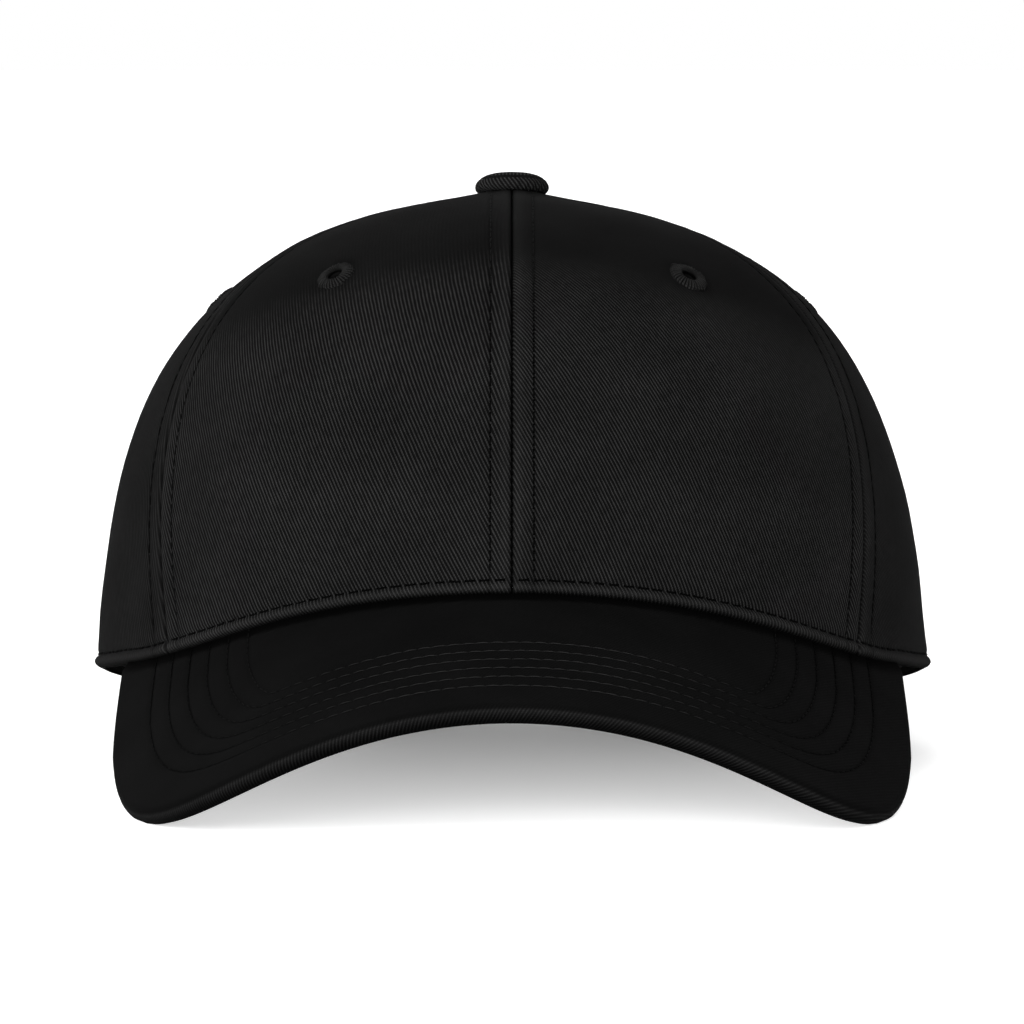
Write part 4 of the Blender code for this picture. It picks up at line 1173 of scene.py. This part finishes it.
def strap():
    turns = np.linspace(-STRAP_HALF_ANGLE, STRAP_HALF_ANGLE, 150)
    b, t = STRAP_BOTTOM, STRAP_TOP
    profile = ((b, 0.6), (b + 0.12, 0.2), (b + 0.5, 0.0), (b + 1.4, -0.04), (b + 2.1, 0.12), (b + 2.8, 0.0),
               (b + 6.0, -0.05), ((b + t) / 2, -0.05), (t - 6.0, -0.05), (t - 2.8, 0.0), (t - 2.1, 0.12),
               (t - 1.4, -0.04), (t - 0.5, 0.0), (t - 0.12, 0.2), (t, 0.6), (t - 0.12, 1.0), (t - 0.6, 1.2),
               (t - 2.1, 1.12), ((b + t) / 2, 1.22), (b + 2.1, 1.12), (b + 0.6, 1.2), (b + 0.12, 1.0))
    heights, depths = np.array(profile).T
    azimuth = turns[:, None] * np.ones_like(heights)[None, :]
    sections = cone(azimuth, heights[None, :], depths[None, :])
    travel = np.radians(turns) * 82.0
    uv = leaned(*np.broadcast_arrays(travel[:, None], heights[None, :]), 1.0)
    edge = np.minimum(np.abs(heights - b), np.abs(heights - t))
    wear_and_highlight = np.broadcast_to(np.exp(-(edge / 0.6) ** 2) * 0.9, azimuth.shape)
    made = swept_object("folded_strap", sections, STRAP_TWILL, uv, wear_and_highlight)
    settle(made, ["adjusting_strap"], "strap")
    runs = []
    for height in (b + 2.1, t - 2.1):
        path = cone(turns[2:-2], height, 0.12)
        outward = cone(turns[2:-2], height, -1.0) - cone(turns[2:-2], height, 0.0)
        runs.append((path, outward))
        inward = cone(turns[2:-2], height, 1.12)
        runs.append((inward, -outward))
    stitch_mesh("strap_stitches", runs, 3.0, 2.35, 0.2, THREAD, body="strap", seed=23)
    return made


def buckle_axes():
    middle = (STRAP_BOTTOM + STRAP_TOP) / 2.0
    centre = cone(BUCKLE_AZIMUTH, middle, 0.0)
    along = cone(BUCKLE_AZIMUTH + 1.0, middle, 0.0) - cone(BUCKLE_AZIMUTH - 1.0, middle, 0.0)
    up = cone(BUCKLE_AZIMUTH, STRAP_TOP, 0.0) - cone(BUCKLE_AZIMUTH, STRAP_BOTTOM, 0.0)
    along /= np.linalg.norm(along)
    up /= np.linalg.norm(up)
    return centre, along, up, np.cross(up, along)


def buckle_point(along, up, out):
    centre, x, y, z = buckle_axes()
    return centre + x * along + y * up + z * out


def rounded(outline, radius, steps=4):
    """An outline of (a, b) points with each corner turned to a small arc."""
    points = []
    count = len(outline)
    for k in range(count):
        before, here, after = (np.array(outline[(k + d) % count], float) for d in (-1, 0, 1))
        back, ahead = before - here, after - here
        size = min(radius, 0.45 * np.linalg.norm(back), 0.45 * np.linalg.norm(ahead))
        start = here + back / np.linalg.norm(back) * size
        end = here + ahead / np.linalg.norm(ahead) * size
        for s in range(steps + 1):
            t = s / steps
            points.append((1 - t) ** 2 * start + 2 * t * (1 - t) * here + t ** 2 * end)
    return points


def solid_sweep(name, sections, paint, closed=False):
    sections = np.array(sections)
    uv = np.zeros(sections.shape[:2] + (2,))
    return swept_object(name, sections, paint, uv, closed=closed, smooth=35.0)


def buckle_frame():
    inside = CHEEK - 1.0
    ring = rounded(((-CHEEK, 3.6), (-CHEEK, -2.9), (CHEEK, -2.9), (CHEEK, 3.6), (inside, 3.6), (inside, -1.9),
                    (-inside, -1.9), (-inside, 3.6)), 0.45)
    sections = []
    for along in (-8.0, -7.85, -7.6, 0.0, 9.0, 9.25, 9.4):
        sections.append([buckle_point(along, up, out) for up, out in ring])
    frame_piece = solid_sweep("buckle_base", sections, BRASS)
    bar_ring = rounded(((8.0, 2.2), (9.4, 2.2), (9.4, 3.6), (8.0, 3.6)), 0.4)
    ends = [[buckle_point(a, up, o) for a, o in bar_ring] for up in (-CHEEK + 0.4, CHEEK - 0.4)]
    bar = solid_sweep("buckle_crossbar", ends, BRASS)
    settle(frame_piece, ["buckle_frame"], "cap")
    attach(bar, "cap")
    return frame_piece


def buckle_lever():
    outer, bore = [], []
    steps = 64
    for k in range(steps):
        turn = 2.0 * math.pi * k / steps
        cosine, sine = math.cos(turn), math.sin(turn)
        outer.append([PIN_ALONG + 1.9 * cosine, PIN_OUT + 1.9 * sine])
        bore.append([PIN_ALONG + 1.15 * cosine, PIN_OUT + 1.15 * sine])
    plate = ((4.0, 0.30), (6.6, 0.32), (6.85, 0.5), (6.95, 0.75), (6.85, 1.0), (6.5, 1.18), (3.5, 1.30))
    for k, (along, out) in zip(range(0, 7), plate):
        outer[k] = [along, PIN_OUT + out]
    sections = []
    for (a, b), (c, d) in zip(outer, bore):
        low, high = -CHEEK + 1.6, CHEEK - 1.6
        ring = [(a, up, b) for up in (low + 0.15, low + 2.0, high - 2.0, high - 0.15)]
        sections.append([buckle_point(*p) for p in ring + [(c, high, d), (c, low, d)]])
    made = solid_sweep("buckle_flip_lever", sections, BRASS, closed=True)
    return settle(made, ["buckle_lever"], "lever")


def anchor_loop():
    outer = ((6.9, 3.0), (6.95, 3.7), (7.2, 4.3), (7.8, 4.75), (8.7, 4.95), (11.0, 4.35), (14.0, 3.4),
             (20.0, 1.75), (30.0, -1.5), (30.1, -2.1), (30.0, -2.7), (20.0, 0.75), (14.0, 2.2), (11.6, 1.9),
             (10.4, 1.25), (9.6, 0.95), (8.7, 0.8), (7.7, 0.95), (7.1, 1.5), (6.9, 2.2))
    inner = ((7.65, 2.9), (7.65, 3.3), (7.8, 3.7), (8.2, 3.95), (8.8, 4.05), (9.6, 4.0), (10.1, 3.8),
             (10.25, 3.5), (10.3, 3.2), (10.3, 3.0), (10.3, 2.8), (10.25, 2.6), (10.15, 2.35), (9.95, 2.1),
             (9.7, 1.9), (9.3, 1.75), (8.7, 1.7), (8.1, 1.75), (7.8, 2.05), (7.65, 2.45))
    low, high = -CHEEK + 1.6, CHEEK - 1.6
    sections, uvs = [], []
    travel = arc(np.array(outer))
    for (a, b), (c, d), t in zip(outer, inner, travel):
        steps = (0.2, 1.2, 2.0, 2.8)
        ups = [low + step for step in steps] + [0.0] + [high - step for step in reversed(steps)]
        ring = [(a, up, b) for up in ups] + [(c, high, d), (c, 0.0, d), (c, low, d)]
        sections.append([buckle_point(*p) for p in ring])
        uvs.append([(0.54 * t + 0.84 * p[1], 0.54 * p[1] - 0.84 * t) for p in ring])
    made = swept_object("buckle_cloth_loop", np.array(sections), STRAP_TWILL, np.array(uvs), closed=True)
    settle(made, ["buckle_anchor_loop"], "cap")
    runs = []
    _, x, _, z = buckle_axes()
    for along, out in ((27.5, -0.62), (22.0, 1.15)):
        path = np.array([buckle_point(along, up, out) for up in np.linspace(low + 1.2, high - 1.2, 30)])
        runs.append((path, np.tile(z + x * 0.3, (30, 1))))
    for up in (low + 1.4, high - 1.4):
        stops = ((12.0, 4.02), (14.0, 3.42), (20.0, 1.77), (27.0, -0.5))
        path = np.array([buckle_point(a, up, o) for a, o in stops])
        runs.append((path, np.tile(z + x * 0.25, (4, 1))))
    stitch_mesh("cloth_loop_stitches", runs, 2.75, 2.2, 0.2, THREAD, seed=29)
    return made


def opening_binding():
    """Folded tape over the edge of the half-moon opening."""
    half = np.degrees(np.linspace(math.radians(30.0), math.radians(90.0), 40))
    profile = ((5.0, -0.75), (4.6, -1.0), (4.1, -0.92), (3.7, -1.05), (1.5, -1.2), (-0.3, -1.1),
               (-0.95, -0.6), (-1.15, 0.5), (-0.95, 1.6), (-0.3, 2.1), (1.5, 2.2), (3.7, 2.1), (4.6, 2.05),
               (5.0, 1.9),
               (5.0, 1.66), (-0.3, 1.66), (-0.45, 1.3), (-0.45, 0.0), (-0.3, -0.5), (5.0, -0.5))
    base = float(hem_height(180.0 - OPENING_HALF_ANGLE))
    sections = []
    spots = [(1.0, s) for s in half] + [(-1.0, s) for s in half[:-1][::-1]]

    def edge_place(side, step, grow):
        """Azimuth and height at a step round the opening's edge, grown outward."""
        reach = OPENING_HALF_ANGLE + math.degrees(grow / HALF_LENGTH)
        turn = math.radians(step)
        return side * (180.0 - reach * math.cos(turn)), base + (OPENING_HEIGHT + grow) * math.sin(turn)

    for side, step in spots:
        sections.append([wall(*edge_place(side, step, grow), depth) for grow, depth in profile])
    sections = np.array(sections)
    travel = arc(sections[:, 4])
    around = arc(np.array(profile))
    across, along = np.broadcast_arrays(travel[:, None] * 0.7, around[None, :] * 0.7)
    uv = np.stack([across + along, along - across], -1)
    edge = np.exp(-((np.array([p[0] for p in profile]) + 1.0) / 0.9) ** 2)
    wear_and_highlight = np.broadcast_to(edge[None, :] * 0.8, sections.shape[:2])
    made = swept_object("opening_edge_binding", sections, TAPE, uv, wear_and_highlight)
    settle(made, ["opening_binding"], "cap")
    runs = []
    for grow, depth, flip in ((4.1, -0.92, 1.0), (4.1, 2.05, -1.0)):
        path, normals = [], []
        for side, step in spots:
            azimuth, height = edge_place(side, step, grow)
            path.append(wall(azimuth, height, depth))
            normals.append(flip * shell_normal(azimuth, rise_at(height)))
        runs.append((np.array(path), np.array(normals)))
    stitch_mesh("opening_binding_stitches", runs, 2.8, 2.2, 0.2, THREAD, seed=31)
    return made


# ------------------------------------------------------------------ the object


def paint_node(name, paint):
    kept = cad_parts[name]
    for kept_slot in kept.material_slots:
        kept_slot.link = "OBJECT"
        kept_slot.material = paint


def tape_on(name, node_name, seam, mirror, foot):
    made, length = seam_tape(name, node_name, seam, mirror, foot)


def build_cap():
    for side, mirror in (("left", 1), ("right", -1)):
        for kind in ("front", "side", "rear"):
            made, area = crown_panel(kind, side, mirror)
            eyelet(kind, side, mirror)
        piece = buckram(side, mirror)
        foot = float(hem_height(FRONT_SEAM, 3.0)) + 0.9
        tape_on(f"front_seam_tape_{side}", f"seam_tape_front_{side}", front_seam, mirror, foot)
        tape_on(f"rear_seam_tape_{side}", f"seam_tape_rear_{side}", rear_seam, mirror, 1.0)
    tape_on("centre_front_seam_tape", "seam_tape_centre_front", lambda r: np.zeros_like(r), 1,
            float(hem_height(0.0, 3.0)) + 0.9)
    tape_on("centre_back_seam_tape", "seam_tape_centre_back", lambda r: np.full_like(r, 180.0), 1,
            60.0)
    crown_stitches()
    band = sweatband()
    label = inner_label()
    opening_binding()
    visor_fabric("visor_cloth_upper", "visor_upper_fabric", False, SHADED_VISOR_TWILL)
    visor_fabric("visor_cloth_lower", "visor_lower_fabric", True, SHADED_VISOR_TWILL)
    visor_stitches("visor_stitch_rows", -0.04, 0.0, False, 41)
    visor_stitches("visor_stitch_rows_under", VISOR_THICKNESS + 0.04, 0.0, True, 43)
    button_cover()
    strap()
    buckle_frame()
    buckle_lever()
    anchor_loop()
    for name, paint in (("visor_board", BOARD), ("button_shell", STEEL), ("button_rivet", STEEL),
                        ("button_washer", STEEL), ("buckle_pin", STEEL)):
        paint_node(name, paint)


# ------------------------------------------------------------------ floor, light and camera


def floor():
    mesh = bpy.data.meshes.new("studio_floor")
    reach = 6.0
    corners = [(-reach, -reach, 0), (reach, -reach, 0), (reach, reach, 0), (-reach, reach, 0)]
    mesh.from_pydata(corners, [], [(0, 1, 2, 3)])
    made = bpy.data.objects.new("studio_floor", mesh)
    bpy.context.scene.collection.objects.link(made)
    paint, tree, shader = tree_of("floor_white_painted_glow", (0.9, 0.9, 0.9), 0.9, specular=0.1)
    # Painted light: the floor glows, brighter toward the front, lifting the shade under the cap so that it
    # fades forward.
    shader.inputs["Emission Strength"].default_value = 1.0
    place = node(tree, "ShaderNodeTexCoord")
    parts = node(tree, "ShaderNodeSeparateXYZ")
    tree.links.new(place.outputs["Object"], parts.inputs["Vector"])
    glow = node(tree, "ShaderNodeMapRange", in_From_Min=0.08, in_From_Max=-0.085, in_To_Min=0.14,
                in_To_Max=0.59)
    tree.links.new(parts.outputs["Y"], glow.inputs["Value"])
    tree.links.new(glow.outputs["Result"], shader.inputs["Emission Color"])
    mesh.materials.append(paint)


def soft_sun(name, azimuth, elevation, strength, spread):
    """A broad distant light; azimuth 0 shines from the camera's side, and from the right as it grows."""
    data = bpy.data.lights.new(name, "SUN")
    data.energy = strength
    data.angle = math.radians(spread)
    made = bpy.data.objects.new(name, data)
    turn, lift = math.radians(azimuth), math.radians(elevation)
    source = Vector((math.sin(turn) * math.cos(lift), -math.cos(turn) * math.cos(lift), math.sin(lift)))
    made.rotation_euler = (-source).to_track_quat("-Z", "Y").to_euler()
    bpy.context.scene.collection.objects.link(made)


def studio():
    floor()
    world = bpy.data.worlds.new("studio_world")
    world.use_nodes = True
    world.node_tree.nodes["Background"].inputs["Color"].default_value = (1.0, 1.0, 1.0, 1.0)
    world.node_tree.nodes["Background"].inputs["Strength"].default_value = 1.0
    scene = bpy.context.scene
    scene.world = world
    scene.view_settings.view_transform = "Standard"
    scene.view_settings.look = "None"
    soft_sun("key", -38.0, 17.0, 3.0, 35.0)
    soft_sun("front", -6.0, 4.0, 4.4, 45.0)
    soft_sun("back", -165.0, 38.0, 0.9, 50.0)
    camera = bpy.data.cameras.new("camera")
    camera.sensor_width = 36.0
    camera.lens = 281.4
    camera.clip_start, camera.clip_end = 0.05, 30.0
    made = bpy.data.objects.new("camera", camera)
    lift = math.radians(4.6)
    target = Vector((0.0, 0.02825, 0.05376))
    made.location = target + Vector((0.0, -math.cos(lift), math.sin(lift))) * 1.768
    made.rotation_euler = (target - made.location).to_track_quat("-Z", "Y").to_euler()
    scene.collection.objects.link(made)
    scene.camera = made


studio()
build_cap()
